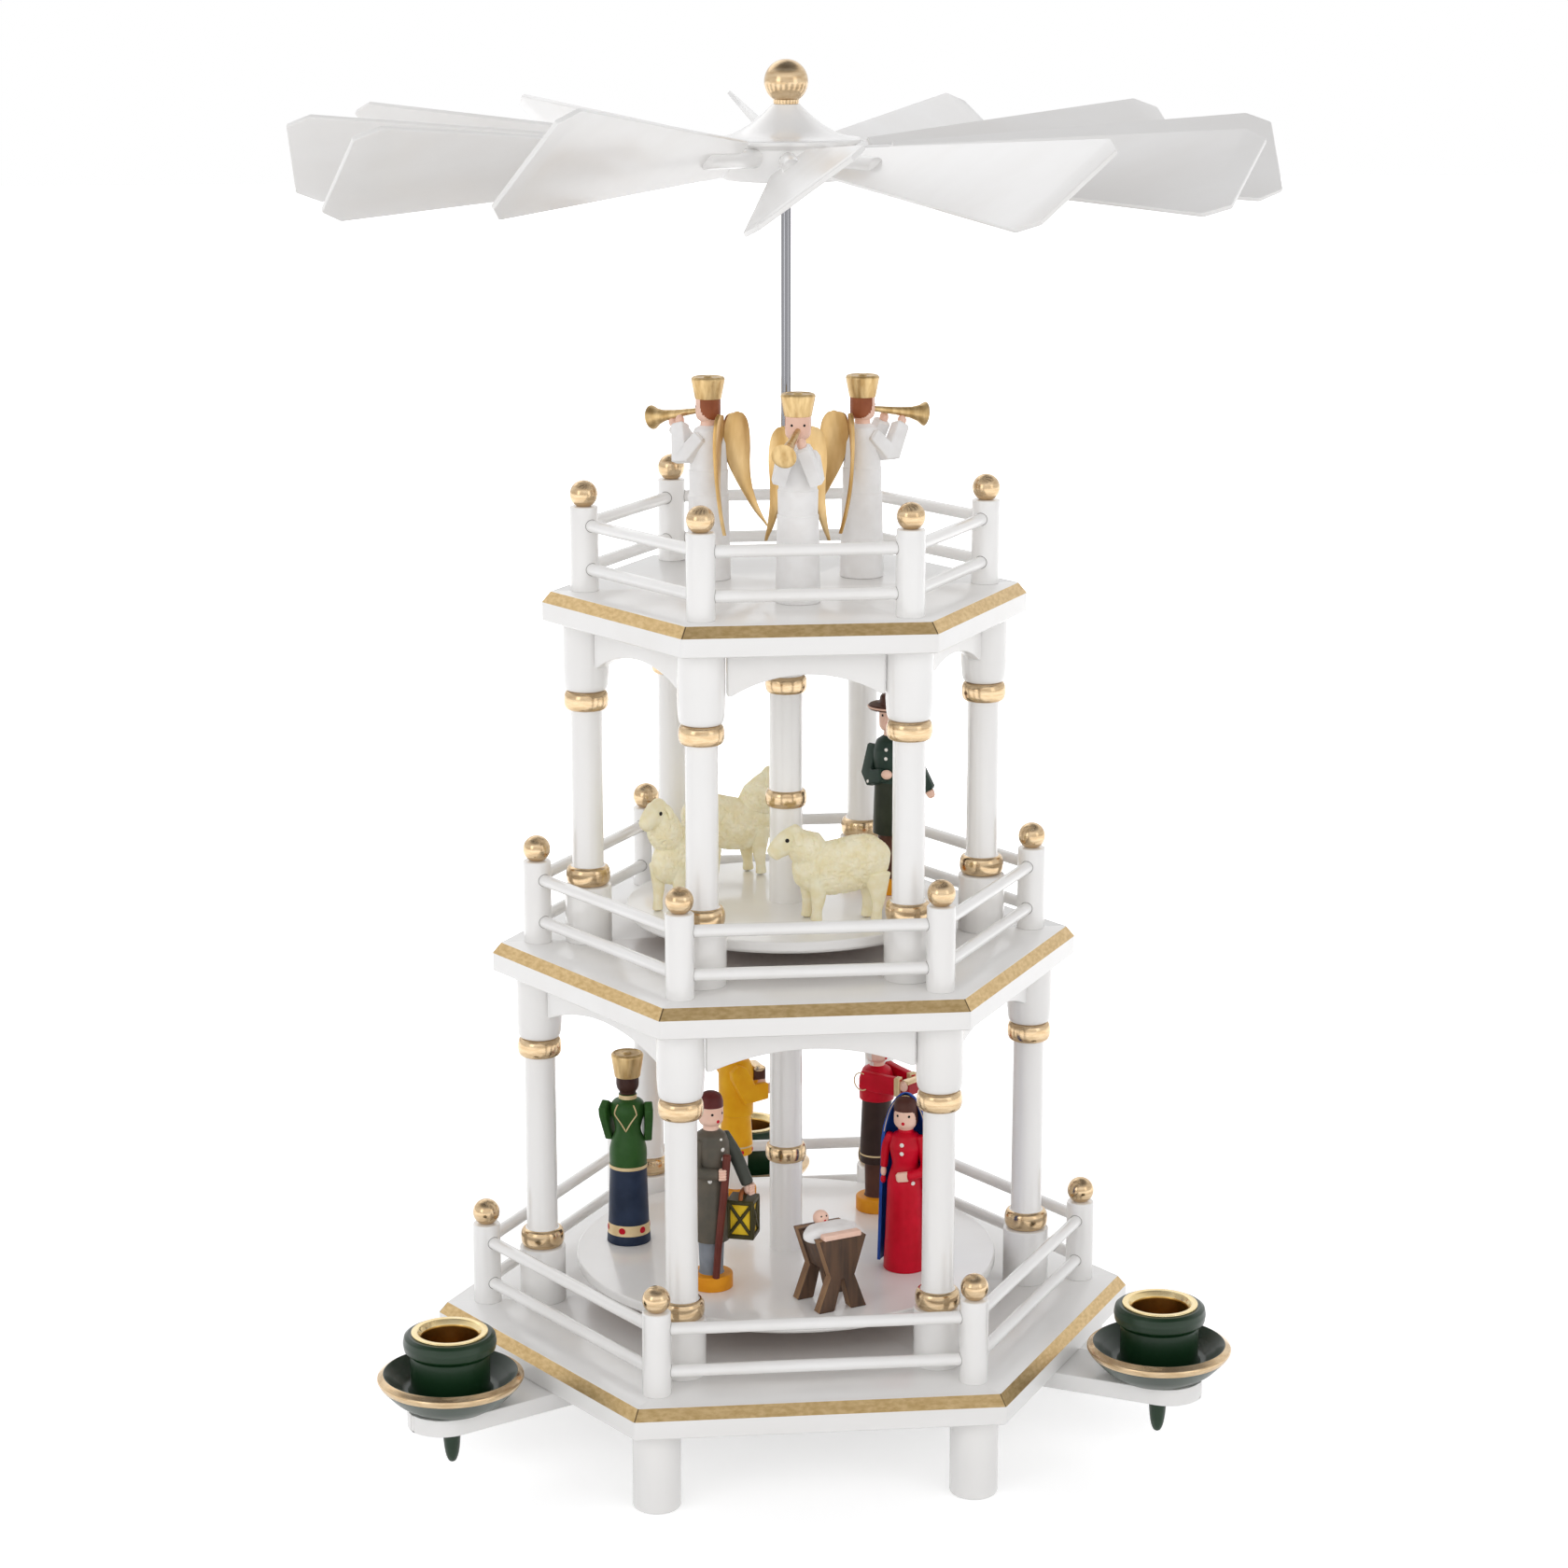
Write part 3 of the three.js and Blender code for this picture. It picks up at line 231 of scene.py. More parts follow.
def piece(name, part, node, body="tower"):
    """Puts a surface into one smooth mesh, sharp where faces meet at more than 24 degrees, on its body."""
    points, quads, colours = part
    same = quads == np.roll(quads, -1, 1)
    whole, cut = same.sum(1) == 0, same.sum(1) == 1
    triangles = quads[cut][~same[cut]].reshape(-1, 3)
    corners = np.concatenate([quads[whole].ravel(), triangles.ravel()])
    sizes = np.repeat([4, 3], [whole.sum(), len(triangles)])
    used, colours = np.unique(np.concatenate([colours[whole], colours[cut]]), return_inverse=True)
    mesh = bpy.data.meshes.new(name)
    mesh.vertices.add(len(points))
    mesh.vertices.foreach_set("co", (points * MM).astype(np.float32).ravel())
    mesh.loops.add(len(corners))
    mesh.loops.foreach_set("vertex_index", corners.astype(np.int32))
    mesh.polygons.add(len(sizes))
    mesh.polygons.foreach_set("loop_start", np.concatenate([[0], np.cumsum(sizes)[:-1]]).astype(np.int32))
    mesh.polygons.foreach_set("material_index", colours.reshape(-1).astype(np.int32))
    mesh.update(calc_edges=True)
    mesh.validate()
    for index in used:
        mesh.materials.append(palette[index])
    mesh.polygons.foreach_set("use_smooth", np.ones(len(sizes), bool))
    mesh.set_sharp_from_angle(angle=np.radians(SHARP))
    obj = bpy.data.objects.new(name, mesh)
    scene.collection.objects.link(obj)
    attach(obj, body)
    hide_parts(node)
    counts.append(int(sizes.sum() - 2 * len(sizes)))


def span(node):
    """A node's lowest and highest corner in millimetres."""
    low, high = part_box(node)
    return np.array(low) / MM, np.array(high) / MM


print("the base plate is", round(np.ptp(span("base_plate"), 0)[0]), "mm from corner to corner")

# %% [markdown]
# ## Profiles
# The lathe and the saw leave corners that are never quite sharp, and it is their thin highlights that make wood look
# solid. A profile is written as its corners, each with the radius that it is eased by, and a ring between two necks
# is a bulge with its own short formula.

# %% Rounded corners and rings
def unit(v):
    """Vectors divided by their lengths."""
    return v / np.linalg.norm(v, axis=-1, keepdims=True)


def rounded(corners, steps=4, loop=False):
    """Lines between corners (x, y, radius). Each arc touches its two lines at radius / tan(half the corner's angle)."""
    c = np.array([(*p, 0)[:3] for p in corners], float)
    run = []
    for k, (x, y, radius) in enumerate(c):
        here = np.array([x, y])
        if radius == 0 or (not loop and k in (0, len(c) - 1)):
            run.append(here[None])
            continue
        a, b = unit(c[k - 1, :2] - here), unit(c[(k + 1) % len(c), :2] - here)
        half = np.arccos(np.clip(a @ b, -1, 1)) / 2
        centre = here + unit(a + b) * radius / np.sin(half)
        first, last = here + a * radius / np.tan(half) - centre, here + b * radius / np.tan(half) - centre
        swing, s = np.pi - 2 * half, np.linspace(0, 1, steps + 1)[:, None]
        run.append(centre + (np.sin((1 - s) * swing) * first + np.sin(s * swing) * last) / np.sin(swing))
    return np.concatenate(run)


def ring(middle, half, root, crest, power=2.4):
    """A bulge on a profile: r = root + (crest - root) * (1 - |u|^power)^(1 / power), u from -1 to 1 over its height."""
    u = np.sin(np.linspace(-np.pi / 2, np.pi / 2, 15))
    return np.stack([root + (crest - root) * (1 - np.abs(u) ** power).clip(0) ** (1 / power), middle + half * u], 1)


print("a filleted square has", len(rounded([(0, 0, 1), (9, 0, 1), (9, 9, 1), (0, 9, 1)], loop=True)), "points")

# %% Turned shapes and their bands of paint
FRONT, BACK = -90, 90


def turned(profile, paint, bands=(), sides=64, loop=False):
    """The profile point (r, z) goes round as (r cos t, r sin t, z). A band recolours faces by their r, z and t."""
    r, z = np.asarray(profile, float).T
    t = np.arange(sides) * 2 * np.pi / sides
    grid = np.stack([np.outer(r, np.cos(t)), np.outer(r, np.sin(t)), np.repeat(z[:, None], sides, 1)], -1)
    middle = (grid + np.roll(grid, -1, 0))[: None if loop else -1] / 2
    middle = (middle + np.roll(middle, -1, 1)) / 2
    radius, angle = np.hypot(middle[..., 0], middle[..., 1]), np.degrees(np.arctan2(middle[..., 1], middle[..., 0]))
    colours = np.full(middle.shape[:2], number[paint])
    for where, colour in bands:
        colours[where(radius, middle[..., 2], angle)] = number[colour]
    return sheet(grid, colours, along=loop)


def off(t, heading):
    """How far a heading lies from another, 0 to 180 degrees."""
    return np.abs((t - heading + 180) % 360 - 180)


def band(paint, low=-99, high=99, beyond=-1, behind=181):
    """A paint for the faces between two heights, beyond a radius and within an angle of the shape's back."""
    return lambda r, z, t: (z > low) & (z < high) & (r > beyond) & (off(t, BACK) < behind), paint


print("a turned cone has", len(turned([(0, 0), (5, 0), (0, 9)], "red")[1]), "faces")

# %% [markdown]
# ## Bars, planks and beads
# Arms, rails, staffs and trumpets are round bars along a path. Boards, blades and arch pieces are sawn: an oblong
# section that changes along one axis or follows a bent line. Buttons, eyes and hands are beads, which are balls with
# three radii. These, with the turned shape, make everything that follows.

# %% Paths and bars
def curve(points, count=24):
    """A smooth line through points: between two of them, the cubic whose slopes are half their neighbours' span."""
    p = np.asarray(points, float)
    ends = np.concatenate([2 * p[:1] - p[1:2], p, 2 * p[-1:] - p[-2:-1]])
    at = np.linspace(0, len(p) - 1, count)
    i = np.minimum(at.astype(int), len(p) - 2)
    u = (at - i)[:, None]
    a, b, c, d = ends[i], ends[i + 1], ends[i + 2], ends[i + 3]
    return b + u / 2 * (c - a + u * (2 * a - 5 * b + 4 * c - d + u * (3 * (b - c) + d - a)))


def bar(path, radius, paint, sides=20, ends=1.0, upright=None):
    """Round each point of the path, point + side * a cos t + up * b sin t; the ends close over quarter ellipses."""
    path = np.asarray(path, float)
    radius = radius[:, None] if isinstance(radius, np.ndarray) and radius.ndim == 1 else radius
    radii = np.broadcast_to(radius, (len(path), 2))
    along = unit(np.gradient(path, axis=0))
    guide = np.eye(3)[np.abs(along).mean(0).argmin()] if upright is None else np.asarray(upright, float)
    f = np.linspace(0, np.pi / 2, 6)[:-1, None]
    path = np.concatenate([path[:1] - along[:1] * radii[0, 0] * np.cos(f) * ends, path,
                           path[-1:] + along[-1:] * radii[-1, 0] * np.cos(f[::-1]) * ends])
    radii = np.concatenate([radii[:1] * np.sin(f), radii, radii[-1:] * np.sin(f[::-1])])
    along = np.concatenate([np.repeat(along[:1], 5, 0), along, np.repeat(along[-1:], 5, 0)])
    side = unit(np.cross(guide, along))
    up = np.cross(along, side)
    t = np.arange(sides) * 2 * np.pi / sides
    return sheet(path[:, None] + side[:, None] * (radii[:, :1] * np.cos(t))[..., None]
                 + up[:, None] * (radii[:, 1:] * np.sin(t))[..., None], paint)


def across(start, end, radius, paint, sides=20, ends=1.0):
    """A straight bar from one point to another."""
    return bar([start, (np.array(start) + end) / 2, end], radius, paint, sides, ends)


print("a smooth line through 3 points is", len(curve([(0, 0), (1, 1), (2, 0)])), "points")

# %% Sawn bars
def eased(count, width, depth, edge):
    """The 16 points (u, v) of each oblong section, width by depth with its corners eased, and the shifts of the ends.

    The first and last section come three times: shrunk to a point, inset by the edge, and full one edge further on.
    """
    last = count - 1
    rows = np.r_[0, 0, np.arange(count), last, last]
    shift = np.r_[0, 0, edge, np.zeros(count - 2), -edge, 0, 0]
    inset = np.r_[1, 1, np.zeros(count), 1, 1] * edge
    full = np.r_[0, np.ones(count + 2), 0][:, None]
    a = np.radians(np.add.outer([0, 90, 180, 270], [0, 30, 60, 90]).ravel())
    sy, sz = np.repeat([1, -1, -1, 1], 4), np.repeat([1, 1, -1, -1], 4)
    corner = (edge - inset * 0.98)[:, None]
    half_y, half_z = (np.broadcast_to(v, count)[rows][:, None] / 2 - edge for v in (width, depth))
    return rows, shift, full * (sy * half_y + corner * np.cos(a)), full * (sz * half_z + corner * np.sin(a))


def plank(x, width, depth, paint, y=0.0, z=0.0, edge=0.4):
    """A sawn bar along x: at each station an oblong, width by depth round (y, z)."""
    x, y, z = (np.broadcast_to(np.asarray(v, float), len(x)) for v in (x, y, z))
    rows, shift, u, v = eased(len(x), width, depth, edge)
    return sheet(np.stack([np.repeat((x[rows] + shift)[:, None], 16, 1), y[rows][:, None] + u, z[rows][:, None] + v],
                          -1), paint)


def sawn(path, width, depth, paint, normal=(1, 0, 0), edge=0.5):
    """A sawn bar along straight lines. At a bend by the angle b its section widens by 1 / cos(b / 2), as in a mitre."""
    path = np.asarray(path, float)
    along = unit(np.diff(path, axis=0))
    bend = np.cross(along[0], along[-1])
    normal = unit(bend) if np.linalg.norm(bend) > 0.2 else np.asarray(normal, float)
    before, after = along[[0, *range(len(along))]], along[[*range(len(along)), -1]]
    tangent = unit(before + after)
    side = np.cross(normal, tangent) / (tangent * before).sum(1)[:, None]
    rows, shift, u, v = eased(len(path), width, depth, edge)
    middle = path[rows] + shift[:, None] * tangent[rows]
    return sheet(middle[:, None] + u[..., None] * side[rows][:, None] + v[..., None] * normal, paint)


print("a plank has", len(plank([0, 5, 9], 2, 1, "red")[1]), "faces")

# %% Beads and tilts
def bead(centre, radii, paint, sides=20):
    """A ball with three radii: centre + (a cos t sin f, b sin t sin f, -c cos f)."""
    f, t = np.linspace(0, np.pi, sides // 2 + 1)[:, None], np.arange(sides) * 2 * np.pi / sides
    unit_ball = np.stack([np.sin(f) * np.cos(t), np.sin(f) * np.sin(t), -np.cos(f) + 0 * t], -1)
    return sheet(unit_ball * radii + centre, paint)


def on_round(radius, z, heading, size, paint, flat=0.4):
    """A flat bead on a turned body, at a height and a heading in degrees: buttons, eyes and painted dots."""
    points, quads, colours = bead((0, 0, 0), (size * flat, size, size), paint, 16)
    return put((points + (radius, 0, z), quads, colours), turn=heading)


def bent(part, turn_x, turn_y):
    """A surface turned about x and then about y, in degrees."""
    a, b = np.radians([turn_x, turn_y])
    about_x = np.array([[1, 0, 0], [0, np.cos(a), np.sin(a)], [0, -np.sin(a), np.cos(a)]])
    about_y = np.array([[np.cos(b), 0, -np.sin(b)], [0, 1, 0], [np.sin(b), 0, np.cos(b)]])
    return part[0] @ about_x @ about_y, part[1], part[2]


print("a bead has", len(bead((0, 0, 0), 1, "red")[0]), "points")

# %% [markdown]
# ## Plates
# Each plate is a sawn hexagon with its upper edge cut to a bevel and gilded. A turned shape with six sides has the
# right form but knife-sharp corners, so the outline here is a hexagon whose corners are eased, shrunk step by step
# from the side to the middle of the deck. The base plate stands on six turned feet. Under the other two hang the arch
# boards, whose lower edge is a shallow arc between two columns.

# %% Hexagonal plates
DECK = 9.7  # from a plate's underside to its deck
CORNER = np.repeat(np.arange(6) * 60, 8)  # the heading of the corner that each outline point belongs to
base_deck, middle_top, top_top = (span(node)[1][2] for node in ("base_plate", "middle_plate", "top_plate"))


def hexagon(radius, ease=1.0):
    """An outline of 48 points: round each corner an arc of the easing radius, centred radius - ease / cos 30 out."""
    a, b = np.radians(CORNER), np.radians(CORNER + np.tile(np.linspace(-30, 30, 8), 6))
    centre = radius - ease / np.cos(np.radians(30))
    return np.stack([centre * np.cos(a) + ease * np.cos(b), centre * np.sin(a) + ease * np.sin(b)], 1)


def plate(radius, bottom, bore):
    """Outlines at (radius, height) stacked from the bore out under the plate, up its side and bevel, and back in."""
    steps = [(radius - 0.4, 0), (radius, 0.35), (radius, 6.1), (radius - 2.9, 9.55), (radius - 3.3, DECK)]
    turn = np.radians(CORNER + np.tile(np.linspace(-26, 26, 8), 6))
    hole = np.stack([bore * np.cos(turn), bore * np.sin(turn)], 1)
    outlines = [hole, *(hexagon(r) for r, _ in steps), hole]
    heights = [0, *(z for _, z in steps), DECK]
    grid = np.stack([np.column_stack([o, np.full(48, z + bottom)]) for o, z in zip(outlines, heights)])
    colours = np.full((len(grid) - (0 if bore else 1), 48), number["sawn lacquer"])
    colours[3] = number["streaky gilding"]
    # The three faces down the middle of each eased corner of the bevel take a dark line of painted shade.
    for shade_line_and_seam in (2, 3, 4):
        colours[3, shade_line_and_seam::8] = number["gold corner painted shade"]
    return sheet(grid, colours, along=bool(bore))


print("decks at", round(base_deck, 1), round(middle_top, 1), round(top_top, 1))

# %% Feet and the base plate
turn = np.radians(np.arange(6) * 60)
corner_spots = np.stack([np.cos(turn), np.sin(turn)], 1)
foot = turned(rounded([(0, 0), (7.8, 0, 1.3), (7.8, 28.3, 0.3), (0, 28.3)]), "white lacquer", sides=48)
feet = [put(foot, x, y) for x, y in corner_spots * 102]
piece("base_board_on_feet", together(plate(118, base_deck - DECK, 0), *feet), "base_plate")
print(counts[-1], "triangles in the base")

# %% Arch boards and the upper plates
LOWER_CIRCLE, UPPER_CIRCLE = 82.6, 65.7


def arch(column_circle):
    """A board 4 mm thick between two capitals; its lower edge is an arc from 14.5 mm down to 8 mm in the middle."""
    half = column_circle * 0.5 - 7.9
    reach, rise = half - 1.5, 6.5
    radius = (reach ** 2 + rise ** 2) / (2 * rise)
    x = np.r_[-half, -reach, reach * np.sin(np.linspace(-np.pi / 2, np.pi / 2, 31))[1:-1], reach, half]
    depth = 8 + radius - np.sqrt(radius ** 2 - np.minimum(np.abs(x), reach) ** 2)
    return plank(x, 4, depth, "sawn lacquer", z=-depth / 2, edge=0.45)


for tier, top, radius, circle in (("middle", middle_top, 97.8, LOWER_CIRCLE), ("top", top_top, 79.8, UPPER_CIRCLE)):
    board = put(arch(circle), y=-circle * np.cos(np.radians(30)))
    boards = [put(board, z=top - DECK + 0.05, turn=k * 60) for k in range(6)]
    piece(f"{tier}_board_with_arches", together(plate(radius, top - DECK, 2.4), *boards), f"{tier}_plate")
print(sum(counts), "triangles in the plates")

# %% [markdown]
# ## Columns
# A column is turned from one stick: a straight pedestal, a gilded ring, the shaft, another ring, and a capital that
# starts with a soft round shoulder. The lathe's fillets are written into the profile. The rings take the gold paint,
# which is picked out by height.

# %% Columns
def column(height):
    """Pedestal, ring, shaft, ring and capital as one profile of (r, z), with the rings' bulges between them."""
    low, high, half = 22.4, height - 26.4, 3.15
    profile = np.concatenate([
        rounded([(0, 0), (7.7, 0, 0.3), (7.7, 19.0, 0.5), (5.9, 19.2)]), ring(low, half, 5.7, 7.3),
        [(5.3, low + 3.3), (5.2, low + 4), (5.2, high - 4), (5.3, high - 3.3)], ring(high, half, 5.7, 7.3),
        curve([(6.0, high + 3.2), (6.7, high + 3.7), (7.25, high + 5.4), (7.6, high + 10)], 10),
        [(7.6, height - 0.3), (7.4, height), (0, height)],
    ])
    gold = [band("gilding", middle - half, middle + half, 5.65) for middle in (low, high)]
    return turned(profile, "white lacquer", gold, sides=56)


for name in [f"column_{tier}_{k}" for tier in ("lower", "upper") for k in range(1, 7)]:
    low, high = span(name)
    x, y = (low[:2] + high[:2]) / 2
    piece(f"turned_{name}", put(column(high[2] - low[2]), x, y, low[2]), name)
print(sum(counts), "triangles with the columns")

# %% [markdown]
# ## Fences
# Six posts carry a gilded ball each, and two dowels run from post to post as rails. Every rail sits in a drilled hole,
# round whose edge a thin grey ring of painted shade stands in for the shade in the hole. That ring is where two
# crossing cylinders meet: going round the rail by the angle a, it lies sqrt(R^2 - (r cos a)^2) from the post's axis,
# with R the post's radius and r the rail's.

# %% Fences
POST, RAIL, KNOB = 4.6, 2.0, 4.5


def fence(circle):
    """Posts and balls at the corners of the circle, and rails between neighbouring corners at two heights."""
    post = turned(rounded([(0, 0), (POST, 0, 0.2), (POST, 27.6, 0.5), (0, 27.6)]), "white lacquer", sides=40)
    f = np.linspace(0, np.pi, 25)
    knob = turned(np.stack([KNOB * np.sin(f), 31.5 - KNOB * np.cos(f)], 1), "gilding", sides=40)
    parts = [put(p, x, y) for x, y in corner_spots * circle for p in (post, knob)]
    apothem, half = circle * np.cos(np.radians(30)), circle / 2
    a, line = np.linspace(0, 2 * np.pi, 33), 2.05
    reach = half - np.sqrt(POST ** 2 - (line * np.cos(a)) ** 2)
    for height in (7.4, 21.6):
        rail = across((-half, -apothem, height), (half, -apothem, height), RAIL, "white lacquer", 24, 0.1)
        # Round each end of a rail lies a thin grey ring of painted shade, for the shade in its hole.
        lines = [bar(np.stack([s * reach, line * np.cos(a) - apothem, line * np.sin(a) + height], 1), 0.11,
                     "painted hole shade", 6) for s in (-1, 1)]
        parts += [put(p, turn=k * 60) for k in range(6) for p in (rail, *lines)]
    return together(*parts)


for tier, circle, deck in (("base", 101.4, base_deck), ("middle", LOWER_CIRCLE, middle_top),
                           ("top", UPPER_CIRCLE, top_top)):
    piece(f"{tier}_railing", put(fence(circle), z=deck), f"fence_{tier}")
print(sum(counts), "triangles with the fences")

# %% [markdown]
# ## Candle arms and holders
# Three boards reach out under the base plate. In the round end of each sits a holder turned from one piece: a wide
# drip dish with a gilded rim, a cup with a collar, and a peg that shows below the board. A brass insert, spun from
# thin sheet, lines the cup and lies on it with a broad flange. The holder's lacquer is glossy, so its fillets matter.

# %% Arms, holders and inserts
ARM_TOP, ARM_HALF, HOLDER_REACH, CUP_TOP = base_deck - DECK, 11.8, 133.3, 24.8
u = np.sin(np.linspace(0, np.pi / 2, 20))
arm = plank(np.r_[60, 61, 130, 136 + ARM_HALF * u],
            2 * np.r_[ARM_HALF, ARM_HALF, ARM_HALF, ARM_HALF * np.sqrt(1 - u ** 2).clip(0.08)],
            5.7, "sawn lacquer", z=-2.85, edge=0.4)
holder = turned(np.concatenate([
    curve([(0, -19.5), (1.3, -18.7), (2.3, -15.6), (2.85, -10), (3, -5.7), (3, -0.1)], 20),
    rounded([(3, -0.1), (12.9, 0, 0.5), (18, 3.1, 12), (22.7, 8.1, 0.3), (23.8, 10.1, 0.8), (21.4, 11.6, 0.25),
             (18.6, 8.6, 6), (15.2, 5.6, 3), (13.5, 5.3, 0.5), (12.7, 7.2, 1.5), (12.8, 18.2, 0.8), (14.6, 19.3, 1.2),
             (15, 21.8, 2), (14.6, 24.0, 0.8), (13.4, CUP_TOP, 0.3), (10.5, CUP_TOP, 0.2), (10.5, 9.5), (0, 9.5)],
            5)[1:],
]), "green lacquer", [band("gilding", 8.15, 11.6, 21.55)], sides=96)
insert = turned(rounded([(0, -15), (9.5, -15, 1.5), (9.5, -0.9, 0.3), (10.1, 0.02, 0.3), (12.3, 0.02, 0.12),
                         (12.3, 0.6, 0.25), (10.4, 0.6, 0.9), (9.0, -1.2, 1.5), (8.9, -14.4, 1.4), (0, -14.4)], 5),
                "cup brass", [(lambda r, z, t: (z < -0.9) & (r < 9.3), "bearing brass")], sides=96)
HEADINGS = (90, 210, 330)
for k, heading in enumerate(HEADINGS, 1):
    piece(f"candle_board_{k}", put(arm, z=ARM_TOP, turn=heading), f"candle_arm_{k}")
for k, heading in enumerate(HEADINGS, 1):
    x, y = HOLDER_REACH * np.cos(np.radians(heading)), HOLDER_REACH * np.sin(np.radians(heading))
    piece(f"drip_dish_{k}", put(holder, x, y, ARM_TOP), f"candle_holder_{k}")
    piece(f"brass_liner_{k}", put(insert, x, y, ARM_TOP + CUP_TOP), f"candle_insert_{k}")
print(sum(counts), "triangles with the holders")

# %% [markdown]
# ## What turns
# A needle-pointed steel shaft stands in a brass cup sunk in the base plate. It carries two white discs, the sleeves
# over them, and the hub. All of these are lathe work, so each is one profile. The hub sweeps up in a hollow curve to
# the gilded ball that ends the tower.

# %% Shaft, bearing, discs and sleeves
BORE = 1.9
bearing = rounded([(0, -8), (4.7, -8, 0.3), (4.7, 0.02), (7.5, 0.02, 0.1), (7.5, 1.2, 0.4), (3.4, 1.2, 0.4),
                   (BORE, -0.2, 0.4), (BORE, -1.2), (0, -4.1)])
piece("brass_bearing", put(turned(bearing, "bearing brass", sides=48), z=span("bearing_cup")[1][2] - 1.2),
      "bearing_cup")
low, high = span("needle_shaft")
needle = rounded([(0, low[2]), (1.6, low[2] + 3, 1), (1.6, high[2], 0.2), (0, high[2])])
piece("steel_needle", turned(needle, "bright steel", sides=32), "needle_shaft", "rotor")


def disc(radius):
    """A disc 4 mm thick with a bore for the shaft; its lower edge is cut back and its underside bare wood."""
    return turned(rounded([(BORE, 0), (radius - 1.2, 0, 0.6), (radius, 1.1, 0.6), (radius, 4, 0.6), (BORE, 4)],
                          loop=True), "white lacquer", [band("raw wood", high=0.05)], sides=144, loop=True)


def sleeve(height, rings):
    """A tube round the shaft, its two rings gilded."""
    half, outside = 2.85, 5.5
    profile = [[(BORE, 0), (outside, 0)]]
    for middle in rings:
        bulge = ring(middle, half, 5.6, 6.85)
        profile += [[(outside, bulge[0, 1] - 0.1)], bulge, [(outside, bulge[-1, 1] + 0.1)]]
    profile.append(rounded([(outside, height - 1), (outside, height, 0.4), (BORE, height)]))
    gold = [band("gilding", middle - half, middle + half, 5.55) for middle in rings]
    return turned(np.concatenate(profile), "white lacquer", gold, sides=48, loop=True)


for tier, radius, first in (("lower", 71, 34.2), ("upper", 53, 35.2)):
    name = f"turntable_{tier}"
    piece(f"figure_disc_{tier}", put(disc(radius), z=span(name)[0][2]), name, "rotor")
    name = f"sleeve_{tier}"
    low, high = span(name)
    height = high[2] - low[2]
    piece(f"turned_{name}", put(sleeve(height, (first, height - 21.3)), z=low[2]), name, "rotor")
print(sum(counts), "triangles with the discs and sleeves")

# %% Hub and finial
HUB_DROP, HUB_TOP, BALL = 6.7, 16.9, 7
wheel = span("hub")[0][2] + HUB_DROP
t = np.linspace(0, 1, 22)[1:]
hub = np.concatenate([
    rounded([(0, -HUB_DROP), (21.4, -HUB_DROP, 0.9), (21.4, 3.5, 0.3), (23.6, 4.9, 0.3), (24, 6.0, 0.35), (23.2, 6.4)]),
    np.stack([23.2 - 18.8 * t, 6.4 + 10.45 * t ** 1.9], 1), [(0, HUB_TOP)],
])
piece("wheel_hub", put(turned(hub, "white lacquer", sides=96), z=wheel), "hub", "rotor")
f = np.linspace(np.arcsin(4.2 / BALL) * 0.98, np.pi, 40)
ball = np.concatenate([[(0, 0.02), (4.0, 0.02)], np.stack([BALL * np.sin(f), BALL - BALL * np.cos(f)], 1)])
piece("gilded_finial", put(turned(ball, "gilding", sides=72), z=wheel + HUB_TOP), "finial", "rotor")
print("the wheel's middle is", round(wheel, 1), "mm up")

# %% [markdown]
# ## Blades
# Each blade is a thin board, narrow at the hub and wide at the tip with its corners clipped, glued into a slot in its
# dowel. The dowel turns in the hub, so each blade can be set steeper or flatter by hand, and no two stand alike. The
# pitch of each comes with its joint's range: at its lowest the blade would lie flat.

# %% Blades
x = np.r_[34, 35, 90, 148.6, 149.4, 156.2, 156.8]
board = plank(x, 2 * np.interp(x, [34, 149, 156.8], [7.1, 20.8, 16.2]), 1.5, "sawn lacquer", edge=0.25)
blade = together(board, bar([(15, 0, 0), (30, 0, 0), (52, 0, 0)], 3.0, "white lacquer", 28, 0.55))
joints = {joint["child"]: joint for joint in frame["joints"]}
for name in [f"blade_{k:02d}" for k in range(1, 13)]:
    ax, ay, az = joints[name]["axis"]
    lift, heading = np.degrees(np.arcsin(az)), np.degrees(np.arctan2(ay, ax))
    tilted = bent(blade, -joints[name]["range_deg"][0], -lift)
    piece(f"wheel_{name}", put(tilted, z=wheel, turn=heading), name, name)
print(sum(counts), "triangles with the wheel")

# %% [markdown]
# ## Figures
# The figures are turned like skittles, with arms, wings and tools glued on. In each figure's own frame it looks along
# -y, so its left hand is at +x. A figure is a turned body whose colours change by height, and for hair or a beard
# also by heading. Kings and angels have arms sawn from board with sharp elbows, most others have round ones. The faces
# are dots of paint: two eyes and a small mouth.

# %% Parts that figures share
SIDES = 96
decks = {"lower": span("turntable_lower")[1][2], "upper": span("turntable_upper")[1][2], "top": top_top}


def face(radius, z, mouth=True, eyes="ink"):
    """Two dots for eyes, 29 degrees to each side of the front, and a small red mouth lower down."""
    dots = [on_round(radius, z + 1.3, FRONT + s * 29, 0.45, eyes) for s in (-1, 1)]
    return dots + ([on_round(radius - 0.05, z - 1.2, FRONT, 0.6, "red")] if mouth else [])


def head(chin, brow, radius=4.1, rows=12):
    """A head's profile from the neck: r grows over the rounded chin and stays at its radius up to the brow."""
    cheek = curve([(2.9, chin), (radius - 0.35, chin + 0.9), (radius, chin + 2.4), (radius, brow)], rows)
    return np.concatenate([[(2.5, chin - 1.4), (2.5, chin - 0.2)], cheek])


